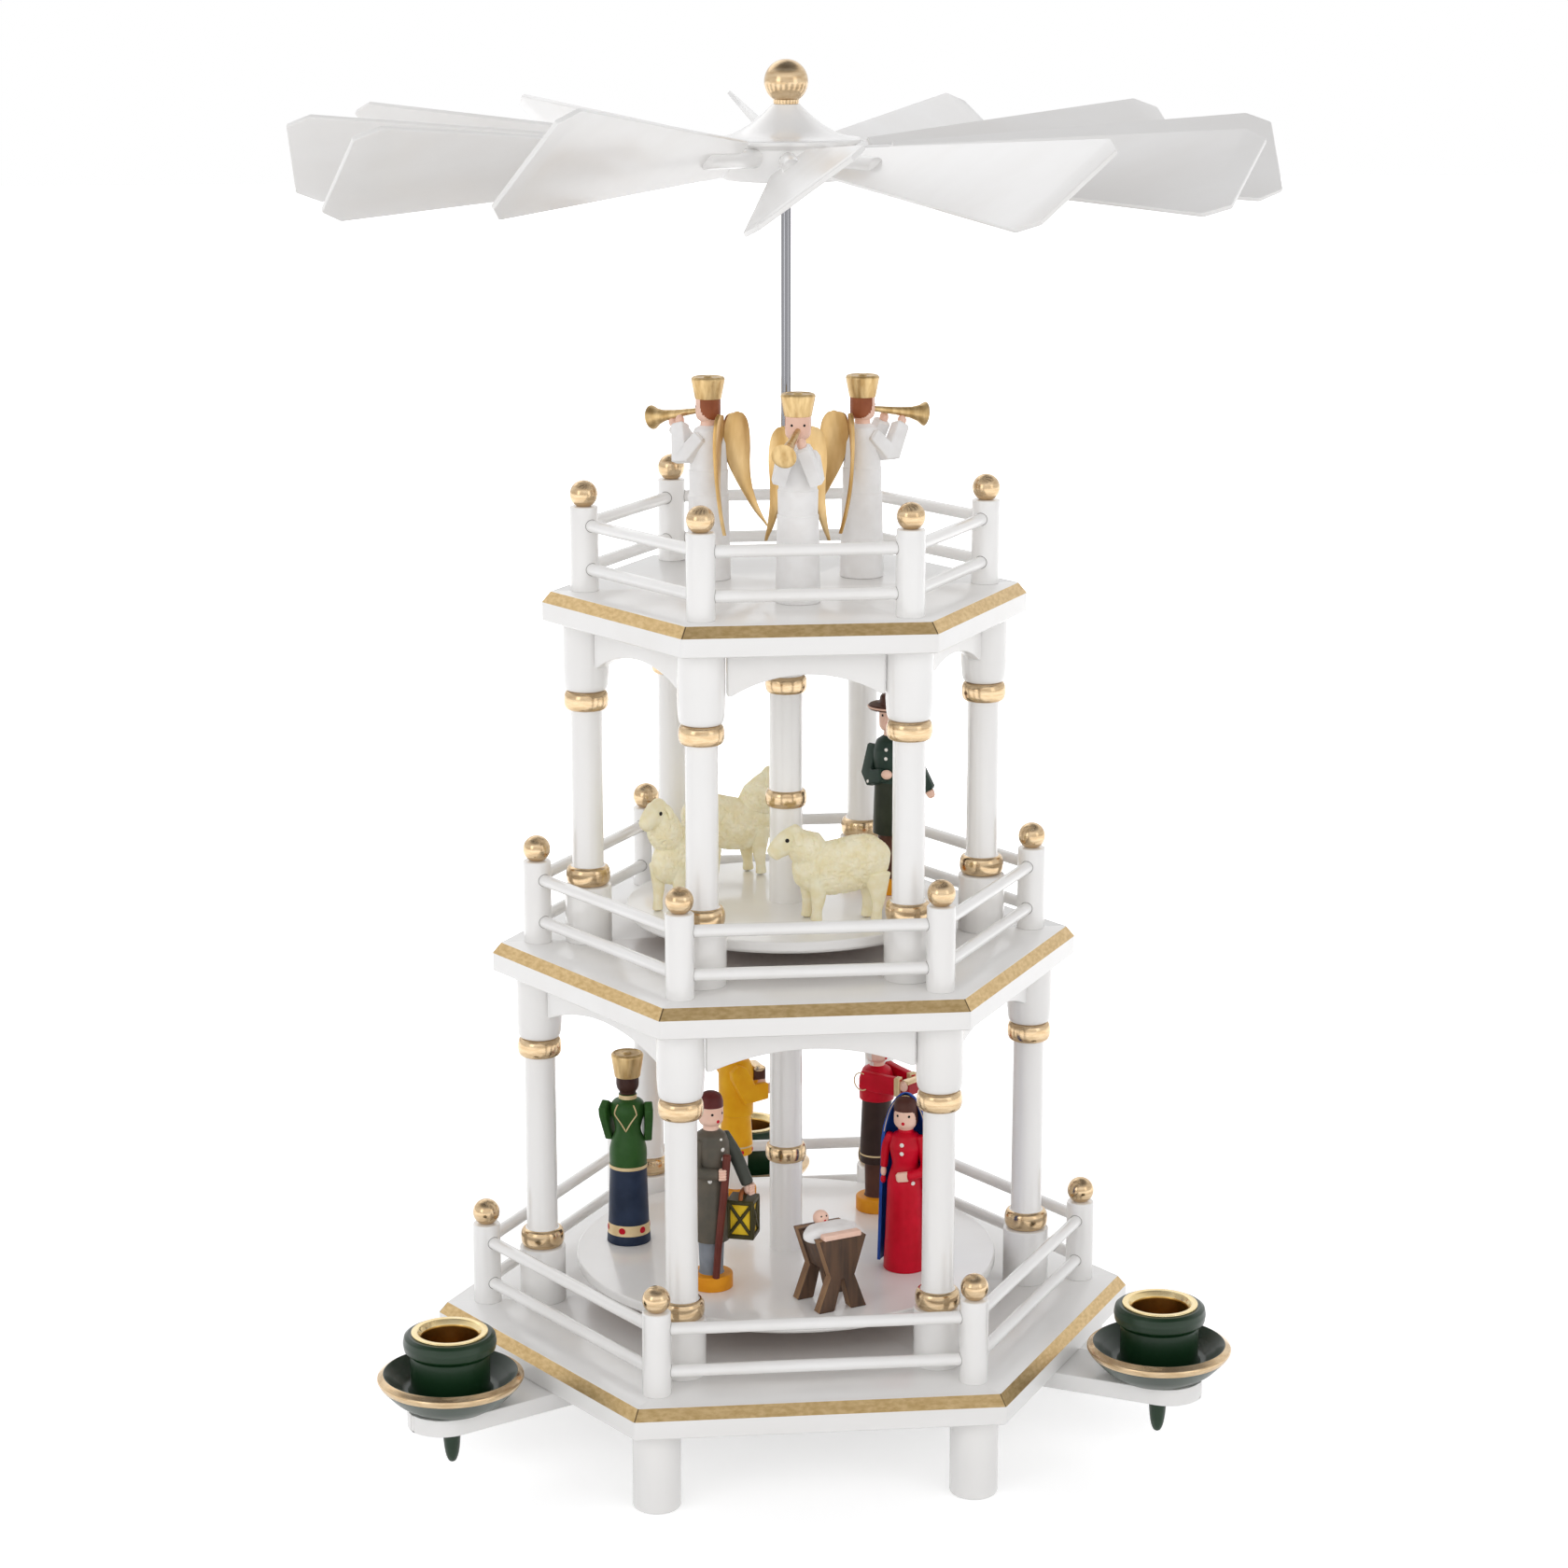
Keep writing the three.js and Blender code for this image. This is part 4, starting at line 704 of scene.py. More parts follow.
def tall_hat(brow, crown, top_radius=5.6):
    """A hat that widens upwards, with a rounded rim, a sunk top and a small knob in its middle."""
    top = [(4.4, brow + 0.3), (top_radius, crown - 0.9, 0.8), (top_radius - 0.7, crown - 0.1, 0.5),
           (top_radius - 1.5, crown - 0.5, 0.3), (1.5, crown - 0.6, 0.1), (1.2, crown, 0.3), (0, crown)]
    return np.concatenate([[(4.3, brow), (4.4, brow + 0.3)], rounded(top, 3)[1:]])


def button(profile, z, size=0.72, heading=FRONT):
    """A bone button on a turned body, whose radius there is read from the points of its profile near that height."""
    near = profile[np.abs(profile[:, 1] - z) < 1.6]
    return on_round(np.interp(z, near[:, 1], near[:, 0]), z, heading, size, "bone")


def limb(points, radii, paint, count=26, sides=22):
    """A round arm through shoulder, elbow and wrist that thins towards the cuff."""
    return bar(curve(points, count), np.linspace(*radii, count), paint, sides, 0.5)


def stand(name, part, spot, level, heading):
    """Sets a figure on its deck, looking along its heading. The two discs turn, the top deck doesn't."""
    body = "tower" if level == "top" else "rotor"
    piece(name.replace("_figure", "") + "_carved", put(part, *spot, decks[level], heading + 90), name, body)


print("figures stand at", {level: round(z, 1) for level, z in decks.items()})

# %% [markdown]
# ### Angels
# Three white angels blow their trumpets outwards from the top deck. The gown is one turned shape with two faint steps.
# The wings are thin gilded leaves: two curves give their inner and outer edge at each height, a plank is laid between
# the two, and the whole is swept back towards the tips.

# %% Angels
def wing(side, spread=60):
    """A leaf 1.2 mm thick whose edges lie at given distances out; from top to tip it swings back by 17 degrees."""
    top, length, tip, swing, thickness = 54.9, 37.7, 17.2, 17, 1.2
    heights = [top, 54.4, 52, 48, 43, 38, 33, 28, 22, tip]
    outer = [5.8, 7.5, 9.3, 10.2, 10.4, 10.1, 10.2, 11.0, 12.9, 15.2]
    inner = [5.0, 1.8, 0.5, 0.1, 0.6, 2.3, 4.7, 7.4, 10.9, 14.7]
    z, far, near = curve(np.stack([heights, outer, inner], 1), 40).T
    points, quads, colours = plank(z, far - near, thickness, "wing gilding", y=(far + near) / 2, edge=0.22)
    z, out, thick = points.T
    thick = thick + thickness * side * np.sin(np.pi * (top - z) / length)
    a = np.radians(90 + side * (spread - swing + swing * (z - tip) / length))
    x, y = out * np.cos(a) - thick * np.sin(a), out * np.sin(a) + thick * np.cos(a) + 5.6
    return np.stack([x, y, z], 1), quads, colours


def angel(bell, left_spread):
    """A gown under a tall hat, a trumpet with its bell at a height, two arms that hold it, and two wings."""
    gown = np.concatenate([
        rounded([(0, 0), (7.3, 0, 0.4), (6.65, 28, 0.1), (6.35, 28.3, 0.1), (6.5, 36, 0.1), (6.2, 36.4, 0.1),
                 (5.9, 45, 4), (4.6, 49.6, 1.5), (2.6, 50.8)]), head(52.3, 59.4)[1:], tall_hat(59.5, 66.9)])
    hair = (lambda r, z, t: (z > 52.7 + 3.6 * (off(t, BACK) / 105) ** 4) & (z < 59.45) & (off(t, BACK) < 105), "auburn")
    body = turned(gown, "gown white", [band("skin", 51.2, 59.45), hair, band("hat gilding", 59.45)], SIDES)
    along = np.linspace(0, 1, 30)
    horn = np.stack([-4.5 * along, -3.4 - 19 * along, 55.4 + (bell - 55.4) * along], 1)
    flare = np.interp(along, [0, 0.1, 0.5, 0.75, 0.9, 0.97, 1], [0.85, 0.95, 1.35, 1.9, 2.8, 3.7, 4.0])
    parts = [body, *face(4.1, 55.6, mouth=False), bar(horn, flare, "hat gilding", 36, 0.06)]
    for points in ([(4.4, 0, 47.6), (5.5, -5.0, 41.6), (5.2, -7.4, 41.4), (1.4, -9.6, 51.0)],
                   [(-4.4, 0, 47.6), (-5.7, -5.6, 41.6), (-5.5, -8.0, 41.5), (-3.2, -13.6, 50.0)]):
        hand = np.array(points[-1]) + unit(np.subtract(points[-1], points[-2]))
        parts += [sawn(points, (4.8, 5.5, 5.5, 4.8), 4.4, "gown white", edge=0.7),
                  bead(hand, (1.5, 1.5, 1.9), "skin", 18)]
    return together(*parts, wing(-1, left_spread), wing(1))


for name, spot, heading, bell, left_spread in (("angel_front", (0.69, -28.29), -96, 49.8, 60),
                                               ("angel_right", (27.19, 17.8), 30, 52.6, 60),
                                               ("angel_left", (-23.6, 18.51), 150, 51.6, 82)):
    stand(name, angel(bell, left_spread), spot, "top", heading)
print(sum(counts[-3:]), "triangles in the angels")

# %% [markdown]
# ### The three kings
# One king stands in a long robe, two in a tunic over bare legs on a round stand. Each holds a small casket before his
# chest, between two arms sawn from board. Thin gold lines on the cloth are painted on the real figures; here each is a
# fine wire laid on the surface.

# %% Kings
LEGS = rounded([(0, 0), (7.1, 0, 0.3), (7.1, 5, 0.6), (4.3, 5, 0.2), (3.9, 6)])


def casket(paint, y, z):
    """A sawn chest with a rounded lid, a flat bar across it."""
    return [plank([-3.4, 0, 3.4], 4.6, 4.2, paint, y=y, z=z, edge=0.3),
            bar([(x, y, z + 2) for x in (-3.3, 0, 3.3)], (2.2, 1.2), "gilding", 20, 0.1, (0, 0, 1))]


def gift_arms(path, widths, paint, hand, cuff=None):
    """Two sawn arms, 6.9 mm to each side, turned inwards by 14 degrees; the path is given forwards and upwards."""
    parts = []
    for s in (-1, 1):
        def at(f, z):
            return np.array([s * (6.9 - 0.242 * f), -0.97 * f, z])
        (f, z), normal = path[-1], (0.97, -0.242 * s, 0)
        parts += [sawn([at(*p) for p in path], widths, 2.7, paint, normal, 0.45),
                  bead(at(f + 1.2, z + 0.4), (1.25, 1.9, 1.9), hand)]
        if cuff:
            parts.append(sawn([at(f - 1.9, z), at(f + 0.05, z)], widths[-1] + 0.35, 3.05, cuff, normal, 0.2))
    return parts


bent_path, bent_widths = [(-3.6, 49.2), (-2.0, 47.0), (2.4, 38.9), (10.2, 39.0)], (4.4, 6.6, 6.6, 5.8)


def king_green():
    """A robe that narrows to the waist. The wire on its back runs between given angles and heights, on its radius."""
    robe = np.concatenate([
        rounded([(0, 0), (7.5, 0, 0.3), (7.3, 3.2), (7.25, 3.3), (7.0, 7.0), (6.95, 7.1), (6.3, 26.4), (6.5, 26.5, 0.1),
                 (6.5, 27.6, 0.1), (6.25, 27.7)]),
        curve([(6.3, 28), (6.35, 32.6), (5.6, 36), (4.45, 39.4), (4.8, 42.4), (5.9, 46), (5.9, 48), (4.9, 49.8),
               (3.2, 50.6)], 40),
        [(3.1, 50.8), (3.1, 52.2), (2.7, 52.4)], head(53.4, 58.4, 3.85)[2:], tall_hat(58.5, 67.0, 5.55)])
    bands = [band("navy", high=26.45), band("hem gold", 3.25, 7.05), band("hem gold", 26.45, 27.65),
             band("hem gold", 50.7, 52.3), band("dark skin", 52.3, 58.45), band("hat gilding", 58.45)]
    dots = [on_round(7.12, 5.2, heading, 1.2, "red", 0.12) for heading in range(20, 380, 60)]
    spots = np.array([(31, 49.4), (39, 46.2), (0, 40), (-39, 46.2), (-31, 49.4)], float)
    angle, z = (np.interp(np.linspace(0, 4, 41), range(5), values) for values in spots.T)
    upper = robe[(robe[:, 1] > 28) & (robe[:, 1] < 50.7)]
    r, a = np.interp(z, upper[:, 1], upper[:, 0]) + 0.05, np.radians(angle)
    lapel = bar(np.stack([r * np.sin(a), r * np.cos(a), z], 1), 0.25, "hem gold", 8)
    return together(turned(robe, "jacket green", bands, SIDES), lapel, *dots, *face(3.8, 55.2, False, "bone"),
                    *gift_arms(bent_path, bent_widths, "jacket green", "dark skin"), *casket("red", -7.4, 44.4))


def king_in_tunic(tunic, jacket, legs, waist, beard, *gift):
    """Stand, legs, tunic and jacket in one profile; the jacket starts at the waist."""
    hem, throat, brow = 17.4, 52.7, 59.95
    body = np.concatenate([
        LEGS, rounded([(3.9, 6), (4.1, hem), (5.6, hem, 0.3), (5.8, hem + 2.8), (5.85, hem + 2.9), (5.85, hem + 3.5),
                       (5.8, hem + 3.6), (5.1, waist - 0.3), (6.0, waist, 0.3), (6.2, 47.6, 3), (4.9, 51.3, 1.5),
                       (2.6, 52.6)])[1:], head(54.1, 59.9)[1:], tall_hat(60.0, 68.4)])
    bands = [band(legs, high=hem), band("orange", high=5.1), band(tunic, hem, waist - 0.3),
             band("hem gold", hem + 2.9, hem + 3.5), band("skin", throat, brow),
             band(beard, throat, brow, behind=100), band("hat gilding", brow)]
    return together(turned(body, jacket, bands, SIDES), *face(4.1, 56.9), *gift)


stand("king_green", king_green(), (-52.6, 12.5), "lower", 77)
bent_arms = gift_arms([(f, z + 1.5) for f, z in bent_path], bent_widths, "yellow", "skin")
hem_dots = [on_round(5.75, 18.9, heading, 0.75, "red", 0.3) for heading in range(0, 360, 60)]
stand("king_yellow", king_in_tunic("yellow", "yellow", "bone", 32, "hair", *bent_arms,
                                   *casket("boot brown", -7.6, 46.2), *hem_dots),
      (-12.2, 49.2), "lower", 16)
raised_arms = gift_arms([(-1.4, 48.9), (5, 48.1), (13.6, 47.9)], (6.2, 6.6, 6.2), "red", "skin", "hem gold")
a = np.linspace(-2.2, 1.9, 30)
shade_line_and_seam = bar(np.stack([0 * a, 3.1 * np.cos(a), 3.1 * np.sin(a)], 1), 0.22, "hem gold", 8)
stand("king_red", king_in_tunic("dark brown", "red", "boot brown", 40.5, "bone", *raised_arms,
                                *casket("dark red", -14.4, 47.2), *(put(shade_line_and_seam, x, 0.4, 48.2) for x in (-8.2, 8.2))),
      (35.6, 34.8), "lower", -46)
print(sum(counts[-3:]), "triangles in the kings")

# %% [markdown]
# ### The man with the lantern and the shepherd
# Both wear a long coat over trousers on a round stand. The lantern is a small box of yellow panes in a dark frame with
# crossed bars, hung from the hand by a bent wooden handle. The shepherd stretches out one arm.

# %% Coats and the lantern
def coat(colour, skirt, legs, hem, crown, hat, chin, brow):
    """Stand, legs, coat and head in one profile; the coat is a little narrower at the waist than at its hem."""
    body = np.concatenate([
        LEGS, rounded([(3.9, 6), (4.3, hem), (6.05, hem, 0.3), (5.8, 30, 30), (5.5, 38.5, 8), (6.2, 46, 6),
                       (6.0, chin - 6.4, 3), (4.9, chin - 3.2, 1.5), (2.6, chin - 1.6)])[1:],
        head(chin, brow)[1:], crown])
    bands = [band(legs, high=hem), band("orange", high=5.1), band(skirt, hem, 38), band("skin", chin - 1.4, brow),
             band("hair", chin + 1.1, brow, behind=64), band(hat, brow)]
    return body, turned(body, colour, bands, SIDES)


def fist(at, turn=0.0):
    """A hand round a stick: a palm and four fingers that lie across it."""
    fingers = [bar([(-1.5, -0.9, z), (0, -1.7, z), (1.5, -1.1, z)], 0.5, "skin", 12, 0.8)
               for z in (-1.35, -0.45, 0.45, 1.35)]
    return put(together(bead((0, 0, 0), (1.7, 1.5, 1.9), "skin", 22), *fingers), *at, turn)


def lantern():
    """A box 9 mm wide: four yellow panes, and round them a frame of dark bars with two crossed bars on each side."""
    parts = [plank([-3.9, 0, 3.9], 7.8, 10.6, "pane yellow", edge=0.2)]
    parts += [plank([-4.6, 0, 4.6], 9.2, 1.5, "olive", z=z, edge=0.3) for z in (-5.9, 5.9)]
    post = across((4, 4, -6), (4, 4, 6), 0.75, "olive", 12, 0.1)
    cross = [bar([(-3.7, -4.0, -5.2 * s), (0, -4.1, 0), (3.7, -4.0, 5.2 * s)], 0.58, "olive", 10, 0.1) for s in (-1, 1)]
    parts += [put(p, turn=k * 90) for k in range(4) for p in (post, *cross)]
    handle = curve([(-3.4, 0, 6.4), (-2.6, 0, 8.4), (0, 0, 9.0), (2.6, 0, 8.4), (3.4, 0, 6.4)], 20)
    return put(together(*parts, bar(handle, 0.75, "copper brown", 12)), 9.0, -5.4, 23.8, 40)


print("the lantern has", len(lantern()[1]), "faces")

# %% The two men
def lantern_figure():
    """A grey coat, a round cap, a staff in one fist and the lantern in the other."""
    cap = curve([(4.15, 62.1), (4.1, 62.9), (4.0, 64.4), (3.3, 66.1), (1.7, 67.1), (0, 67.4)], 20)
    body, coat_part = coat("grey", "grey", "trouser grey", 16.5, cap, "maroon", 56, 62.2)
    parts = [coat_part, *face(4.1, 59.0), lantern(),
             limb([(-5.2, 0.2, 50.4), (-7.4, -1.6, 42), (-2.4, -6.4, 40.7)], (2.5, 2.0), "grey"),
             fist((-0.9, -7.2, 40.9)),
             # His left arm is painted a darker grey than his coat: painted shade.
             limb([(5.0, 0.2, 51), (7.6, -3.2, 44.6), (9.6, -6.9, 35.8)], (2.5, 2.1), "coat shade"),
             fist((9.8, -7.4, 33.7), 40), button(body, 51.6, heading=FRONT + 4), button(body, 48.6, heading=FRONT + 4),
             button(body, 45.5, heading=FRONT + 4), button(body, 38, heading=FRONT - 40),
             button(body, 38, heading=FRONT + 40), sawn([(0, -4.15, 5.4), (0, -4.35, 16.4)], 0.5, 0.5, "ink", edge=0.1)]
    staff = curve([(0.5, -8.2, 47.1), (-0.3, -7.8, 36), (-1.6, -6.8, 20), (-2.4, -5.8, 5.1)], 24)
    return together(*parts, bar(staff, np.linspace(1.35, 1.2, 24), "staff brown", 16, 0.4))


def shepherd():
    """A dark coat, a hat with a broad brim, one arm across the chest and one stretched out."""
    hat = rounded([(4.2, 62.4), (7.6, 62.5, 0.8), (8.0, 63.4, 0.6), (7.4, 64.2, 0.8), (4.2, 64.5, 0.6),
                   (3.7, 67.4, 1.2), (0, 67.8)])
    body, coat_part = coat("forest", "deep olive", "boot brown", 20.2, hat, "boot brown", 55.2, 62.3)
    # The pale ring laid along the edge of the brim is a painted highlight.
    brim = [(7.75 * np.cos(a), 7.75 * np.sin(a), 63.4) for a in np.linspace(0, 2 * np.pi, 65)]
    near_arm = [(-5.6, 0, 50.0), (-7.0, -1.6, 41.2), (-5.4, -4.0, 39.4), (-0.4, -7.0, 41.1)]
    far_arm = [(4.6, 0, 50.6), (9.8, -0.6, 42.4), (13.6, -1.0, 35.8)]
    return together(
        coat_part, *face(4.1, 59.4), bar(brim, 0.32, "skin", 8, 0),
        sawn(near_arm, (4.6, 5.0, 5.0, 4.4), 3.4, "forest", edge=0.6),
        bead((0.8, -7.6, 41.6), (1.9, 1.5, 1.6), "skin"), bead((-6.2, -5.4, 38.4), (0.7, 0.7, 0.7), "bone", 14),
        sawn(far_arm, (4.6, 4.6, 4.2), 3.4, "forest", (0, 1, 0), 0.6),
        sawn([(13.4, -1.0, 36.0), (14.8, -1.1, 33.4)], (3.0, 2.4), 1.9, "skin", (0, 1, 0), 0.6),
        button(body, 49.6, 0.6), button(body, 46.6, 0.6))


stand("lantern_figure", lantern_figure(), (-28.5, -34.4), "lower", -59)
stand("shepherd", shepherd(), (36.2, 8.3), "upper", -115)
print(sum(counts[-2:]), "triangles in the two men")

# %% [markdown]
# ### The figure in the red dress
# The dress is turned, narrow at the waist. A blue cape is wrapped round the back from the floor to over the head: a
# turned shell of which only the rear half is there, so its section at each height is a thin crescent.

# %% Red dress and cape
def cape():
    """At each height the section runs along the outer radius from edge to edge and along the inner one back."""
    top = curve([(z, 0) for z in (49, 51.8, 54.6, 57.4, 59.3, 60.6, 61.1)], 22)[1:, 0]
    z = np.r_[1.8, 1.8, 2.2, 30, 44, 49, top]
    outer = np.interp(z, [1.8, 30, 44, 49, 51.8, 54.6, 57.4, 59.3, 60.6, 60.95, 61.1],
                      [9.4, 8.7, 8.3, 7.6, 6.8, 5.9, 4.6, 3.3, 1.9, 1.1, 0])
    inner = outer - np.minimum(1.0, outer)
    outer[0] = inner[0] = outer[0] - 0.5
    t = np.radians(np.linspace(-4, 184, 60))
    t, reach = np.r_[t, t[::-1]], np.repeat(np.stack([outer, inner], 1), 60, 1)
    return sheet(np.stack([reach * np.cos(t), reach * np.sin(t), np.repeat(z[:, None], 120, 1)], -1), "blue")


def red_dress_figure():
    """A turned dress, hair down to the neck behind, the cape with a gold rim, and two round arms, one bent."""
    dress = np.concatenate([
        rounded([(0, 0), (7.2, 0, 0.4), (6.6, 12, 30), (5.95, 31, 10), (4.3, 36.6, 5), (5.5, 42.6, 3),
                 (4.4, 46.8, 1.5), (2.5, 47.7), (2.5, 48.7)], 5), head(49.3, 56.2, 4.0, 48)[2:],
        curve([(4.0, 56.4), (3.6, 58.4), (2.2, 59.7), (0, 60.1)], 10)])
    hair = (lambda r, z, t: (z > 49.6) & ((z > 55.3 - 4 * (off(t, FRONT) / 72) ** 8) | (off(t, FRONT) > 74)), "hair")
    edge = [(7.3, 47.2), (6.6, 50.5), (5.6, 54), (4.1, 57.1), (2.2, 59.3)]
    rim = curve([*((-x, -0.5, z) for x, z in edge), (0, -0.5, 60.1), *((x, -0.5, z) for x, z in edge[::-1])], 60)
    return together(
        turned(dress, "red", [band("skin", 48.6), hair], SIDES), cape(), bar(rim, 0.15, "hem gold", 8),
        *face(4.0, 52.6), button(dress, 44.4), button(dress, 41.4), button(dress, 31.2, heading=FRONT + 40),
        limb([(-5.0, 0.2, 45.9), (-6.7, 0.0, 42), (-7.3, -0.3, 35.2)], (1.75, 1.2), "red", 20, 20),
        bead((-7.35, -0.6, 33.4), (1.0, 1.0, 1.9), "skin", 16), bead((-7.4, -0.8, 30.6), (0.95, 0.95, 1.4), "red", 16),
        limb([(5.0, 0, 45.9), (7.2, -1.2, 38), (6.4, -3.6, 35.2), (2.6, -6.4, 34.2)], (1.9, 1.6), "red", 24, 20),
        sawn([(2.9, -6.4, 34.2), (-1.4, -7.0, 33.6)], (3.4, 3.2), 1.8, "skin", (0, 1, 0.1), 0.6))


stand("red_dress_figure", red_dress_figure(), (37.4, -24.0), "lower", -112)
print(counts[-1], "triangles in the figure in the red dress")

# %% [markdown]
# ### The crib
# Two crossed ends sawn from thin board hold a trough. A white cloth lies over it in a soft mound, and the child's head
# looks out at one end. An end board is three planks: the upper part widens upwards, and two legs lean outwards.

# %% Crib
def upright(part, y=0.0):
    """A plank along x set on its end, so that its length runs up and its width along x."""
    return part[0][:, [1, 2, 0]] + (0, y, 0), part[1], part[2]


def end_board(y):
    """Upper part: half width from 4.2 at 11 mm to 8.6 at 24.6 mm. Legs: planks from the waist to 5.9 mm out."""
    sides = np.where(np.arange(16) % 8 == 7, number["cut wood"], number["stained wood"])
    z = np.array([10.6, 11.2, 24.0, 24.6])
    upper = plank(z, 2 * np.interp(z, [10.6, 11.4, 24.6], [4.2, 4.2, 8.6]), 4, sides, edge=0.3)
    z = np.array([0, 0.5, 11.4, 12.0])
    legs = [plank(z, np.interp(z, [0, 12], [5.7, 4.2]), 3.96, sides, y=s * np.interp(z, [0, 12], [5.9, 2.1]), edge=0.3)
            for s in (-1, 1)]
    return upright(together(upper, *legs), y)


def crib():
    """The cloth is a tube with a flattened round section, wide by |sin|^0.3 along its length and a little lumpy."""
    z = np.array([12.2, 12.6, 23.6, 24.0])
    trough = upright(plank(z, 2 * np.interp(z, [12, 24], [3.9, 8.0]), 14.2, "stained wood", edge=0.2))
    u, v = np.linspace(0, 1, 60)[:, None], np.linspace(0, 2 * np.pi, 96, endpoint=False)
    lump = 1 + 0.05 * np.sin(9 * u + 2 * np.cos(v)) + 0.03 * np.sin(5 * v + 11 * u)
    reach = np.sin(np.pi * u).clip(0) ** 0.3 * lump
    wide, high = (np.sign(w) * np.abs(w) ** 0.75 for w in (np.cos(v), np.sin(v)))
    cloth = np.stack([9.6 * wide * reach, -6.1 + 11.2 * u + 0 * v,
                      24.0 + np.where(high > 0, 3.0, 2.8) * high * reach], -1)
    return together(
        end_board(-7.2), end_board(7.2), trough, sheet(cloth[::-1], "cloth"),
        plank([-6.9, 0, 6.9], 3.1, 1.9, "skin", y=-7.6, z=25.3), bead((0, 6.0, 26.9), (2.6, 2.6, 2.6), "skin", 32),
        *(bead((x, 3.9, 28.0), (0.3, 0.3, 0.3), "ink", 10) for x in (-0.9, 0.9)),
        bead((0.2, 3.5, 26.6), (0.45, 0.3, 0.4), "red", 10))


stand("crib", crib(), (8.5, -52.8), "lower", -68)
print(counts[-1], "triangles in the crib")

# %% [markdown]
# ### Sheep
# The sheep are cast with a curly fleece. The trunk, the neck and the head are ellipses strung along a bent line. The
# curls are real relief: many points are strewn over the fleece, and every part of the surface is raised by a small
# dome round the point that is nearest to it.

# %% Sheep
CURL, CURL_HEIGHT, RINGS = 0.8, 0.5, 110


def curls(points, seed, count):
    """Relief h = height * max over centres of (1 - (d / spacing)^2), centres strewn over the same surface."""
    centres = points[np.random.default_rng(seed).choice(len(points), count, replace=False)]
    nearest = np.concatenate([((p[:, None] - centres) ** 2).sum(-1).min(1) for p in np.array_split(points, 60)])
    return CURL_HEIGHT * (1 - nearest / CURL ** 2).clip(0)


def fleece(path, radii, seed, sides=150, count=2600):
    """A string of ellipses along the path, each point pushed away from the line by its curl."""
    path, radii = curve(path, RINGS), curve(radii, RINGS)
    side = np.array([1.0, 0, 0])
    up = unit(np.cross(unit(np.gradient(path, axis=0)), side))
    t = np.arange(sides) * 2 * np.pi / sides
    s = np.sin(np.linspace(0, np.pi, RINGS)).clip(0) ** 0.35
    out = side * np.cos(t)[:, None] * radii[:, None, :1] + up[:, None] * np.sin(t)[:, None] * radii[:, None, 1:]
    out = out * s[:, None, None]
    grid = path[:, None] + out
    lift = curls(grid.reshape(-1, 3), seed, count).reshape(grid.shape[:2])
    grid = grid + unit(out + 1e-9) * (lift * (s > 0.05)[:, None])[..., None]
    return sheet(grid[::-1], "fleece")


def sheep(seed, lift):
    """The head and the upper neck are held higher by the lift, and the muzzle by a third more."""
    trunk = fleece([(0, 16, 19.6), (0, 12, 20.2), (0, 8, 20.3), (0, 2, 18.4), (0, -4, 17.2), (0, -10, 16.6),
                    (0, -15.8, 15.8)],
                   [(5.4, 7.4), (6, 7.9), (6.2, 8.5), (5.9, 8.7), (5.9, 8.9), (5.7, 9.2), (5.0, 8.6)], seed)
    neck = fleece([(0, -5, 20.5), (0, -10.6, 23.6 + 0.45 * lift), (0, -13.6, 26.6 + 0.85 * lift),
                   (0, -15.6, 30.0 + lift)], [(4.8, 6.4), (5.0, 6.2), (4.3, 4.6), (3.3, 3.4)], seed + 1, 120, 1500)
    muzzle = curve([(0, -13.5, 27.6 + lift), (0, -17.2, 26.0 + 1.1 * lift), (0, -20.2, 23.8 + 1.25 * lift),
                    (0, -21.9, 22.0 + 1.35 * lift)], 24)
    parts = [trunk, neck, bar(muzzle, curve([(3.6, 4.6), (3.2, 4.1), (2.6, 3.3), (2.1, 2.6)], 24), "fleece", 32, 0.6,
                              (0, 0, 1))]
    for x, y, thigh in ((3, -7.9, 3.4), (-3, -11, 3.4), (-3, 8.6, 4.6), (3, 11.6, 4.6)):
        leg = curve([(x, y, 16), (x, y + 0.6, 8.6), (x, y + 0.2, 4), (x, y, 0.7)], 22)
        parts.append(bar(leg, curve([(2.4, thigh), (1.8, 2.5), (1.45, 1.7), (1.6, 1.9)], 22), "fleece", 20, 0.4,
                         (0, 1, 0)))
    for s in (-1, 1):
        ear = curve([(s * 3.3, -14.2, 29.4 + lift), (s * 4.3, -13.7, 28.0 + lift), (s * 4.5, -13.4, 26.2 + lift)], 12)
        parts += [bar(ear, (0.8, 1.3), "fleece", 16, 0.8, (0, 1, 0)),
                  bead((s * 3.15, -17.4, 27.2 + 1.1 * lift), (0.4, 0.7, 0.7), "ink", 14)]
    return together(*parts)


for seed, name, spot, heading, lift in ((11, "sheep_front", (15, -26.5), 174, 0),
                                        (13, "sheep_left", (-34.1, -2.7), 230, 7),
                                        (15, "sheep_back", (-16, 36.6), 8, 5)):
    stand(name, sheep(seed, lift), spot, "upper", heading)
print(sum(counts), "triangles in all")

# %% [markdown]
# ## Floor, background and light
# The pyramid stands on a pale, plain floor before white. The light is that of a white room: brightest in front and
# behind and at half height, and dim overhead, which keeps the bevels darker than the faces below them. Two soft boxes
# stand to the left and right of the camera and make the paired highlights on the gold; a third hangs behind and above,
# where the bevels in front can't mirror it. The floor is matt, with a glow added for the camera and for reflections
# alone, which grows to plain white with the distance from the tower, so that only the shadow by the feet is left of it.

# %% Floor
def math(tree, operation, first, second):
    """One sum or product of two outputs."""
    return add_node(tree, "Math", {0: first, 1: second}, operation=operation).outputs[0]


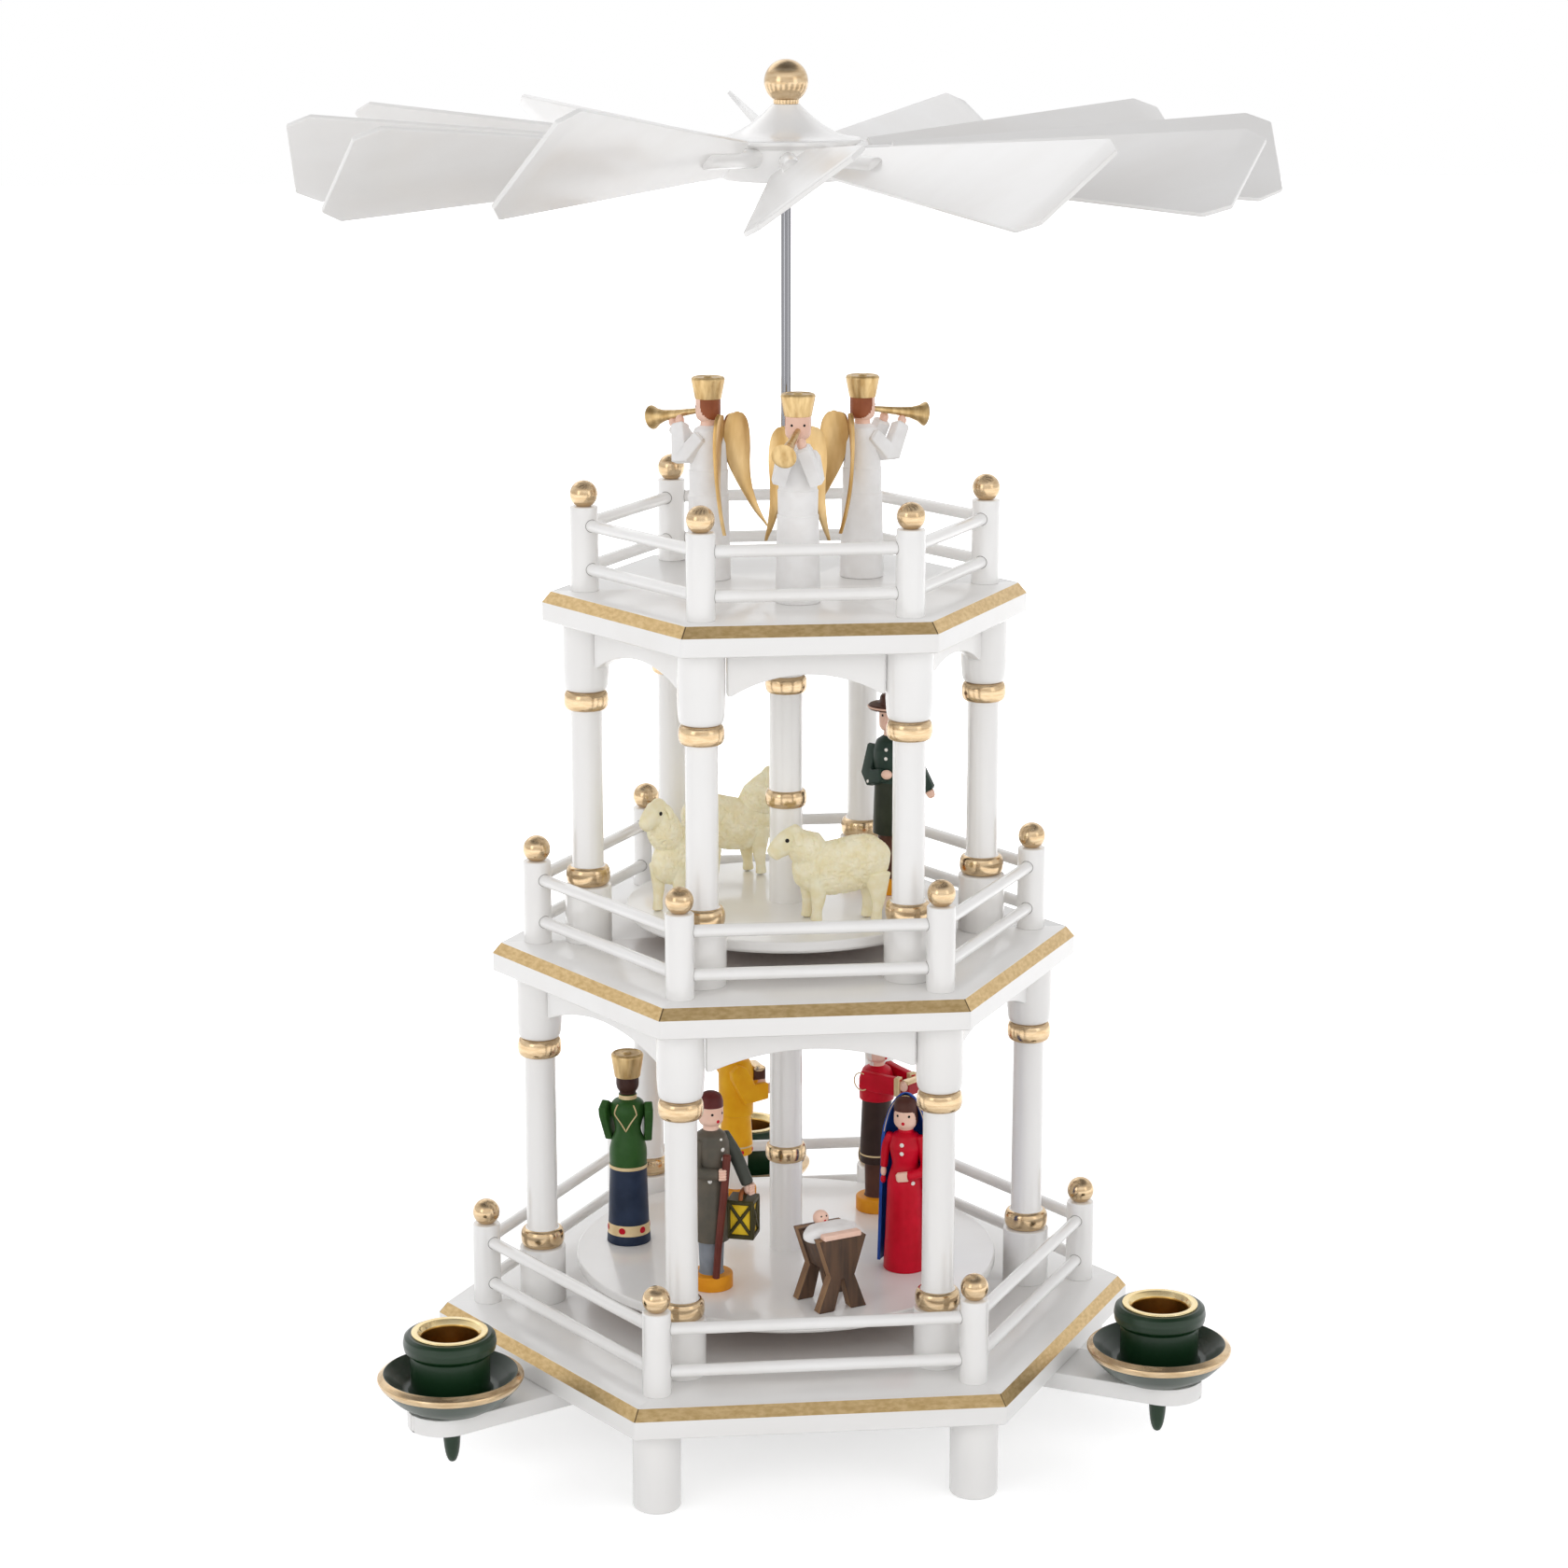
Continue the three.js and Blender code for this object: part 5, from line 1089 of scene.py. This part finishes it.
def ray_kinds(tree):
    """Two factors: 1 for rays from the camera or through glass, and 1 for those that a glossy surface mirrors."""
    rays = add_node(tree, "LightPath").outputs
    return math(tree, "ADD", rays["Is Camera Ray"], rays["Is Transmission Ray"]), rays["Is Glossy Ray"]


floor_mesh = bpy.data.meshes.new("floor")
floor_mesh.from_pydata([(-6, -6, 0), (6, -6, 0), (6, 6, 0), (-6, 6, 0)], [], [(0, 1, 2, 3)])
floor = bpy.data.objects.new("floor", floor_mesh)
scene.collection.objects.link(floor)
floor_paint = bpy.data.materials.new("floor paint")
floor_paint.use_nodes = True
tree = floor_paint.node_tree
tree.nodes.remove(tree.nodes["Principled BSDF"])
direct, mirrored = ray_kinds(tree)
spot = add_node(tree, "TexCoord").outputs["Object"]
distance = add_node(tree, "VectorMath", {0: spot}, operation="LENGTH").outputs["Value"]
fade = add_node(tree, "MapRange", {"Value": distance, "From Min": 0.14, "From Max": 0.55, "To Min": 0.45, "To Max": 1},
                interpolation_type="SMOOTHSTEP").outputs[0]
glow = add_node(tree, "Emission", {"Strength": math(tree, "MULTIPLY", math(tree, "ADD", direct, mirrored), fade)})
matt = add_node(tree, "BsdfDiffuse", {"Color": (0.93, 0.93, 0.93, 1)})
both = add_node(tree, "AddShader", {0: matt.outputs[0], 1: glow.outputs[0]})
feed(tree.nodes["Material Output"], {"Surface": both.outputs[0]})
floor_mesh.materials.append(floor_paint)
print("floor", *(round(v) for v in floor.dimensions[:2]), "m")

# %% World
SKY = ((0, 0.8), (0.25, 0.88), (0.5, 0.98), (0.65, 0.9), (0.8, 0.36), (1, 0.16))
world = bpy.data.worlds.new("studio")
scene.world = world
world.use_nodes = True
tree = world.node_tree
sky = tree.nodes["Background"]
axis = add_node(tree, "SeparateXYZ", {0: add_node(tree, "TexCoord").outputs["Generated"]}).outputs
depth = math(tree, "MULTIPLY", axis["Y"], axis["Y"])
room = add_node(tree, "MapRange", {"Value": depth, "To Min": 0.93, "To Max": 1.5})
feed(sky, {"Color": ramp(tree, axis["Z"], [(height, (v, v, v + 0.01, 1)) for height, v in SKY]),
           "Strength": room.outputs[0]})
low = add_node(tree, "MapRange", {"Value": axis["Z"], "From Min": 0.2, "From Max": 0.45, "To Min": 1, "To Max": 0})
direct, mirrored = ray_kinds(tree)
choice = math(tree, "ADD", direct, math(tree, "MULTIPLY", mirrored, low.outputs[0]))
white = add_node(tree, "Background", {"Color": (1, 1, 1, 1)})
mix = add_node(tree, "MixShader", {"Fac": choice, 1: sky.outputs[0], 2: white.outputs[0]})
feed(tree.nodes["World Output"], {"Surface": mix.outputs[0]})
print("the room's light at", len(SKY), "heights")

# %% Lamps
def soft_box(name, spot, width, height, power):
    """An oblong lamp that faces the middle of the tower."""
    lamp = bpy.data.lights.new(name, "AREA")
    lamp.shape, lamp.size, lamp.size_y, lamp.energy = "RECTANGLE", width, height, power
    obj = bpy.data.objects.new(name, lamp)
    obj.location = spot
    obj.rotation_euler = (Vector((0, 0, 0.22)) - Vector(spot)).to_track_quat("-Z", "Y").to_euler()
    scene.collection.objects.link(obj)


soft_box("left_box", (-1.25, -1.15, 0.75), 0.6, 0.8, 2.1)
soft_box("right_box", (1.15, -1.25, 0.7), 0.6, 0.8, 1.2)
soft_box("top_box", (-0.5, 1.0, 1.4), 1.1, 1.1, 2.0)
print(len(bpy.data.lights), "lamps")

# %% The view transform and the end
scene.view_settings.view_transform = "Standard"
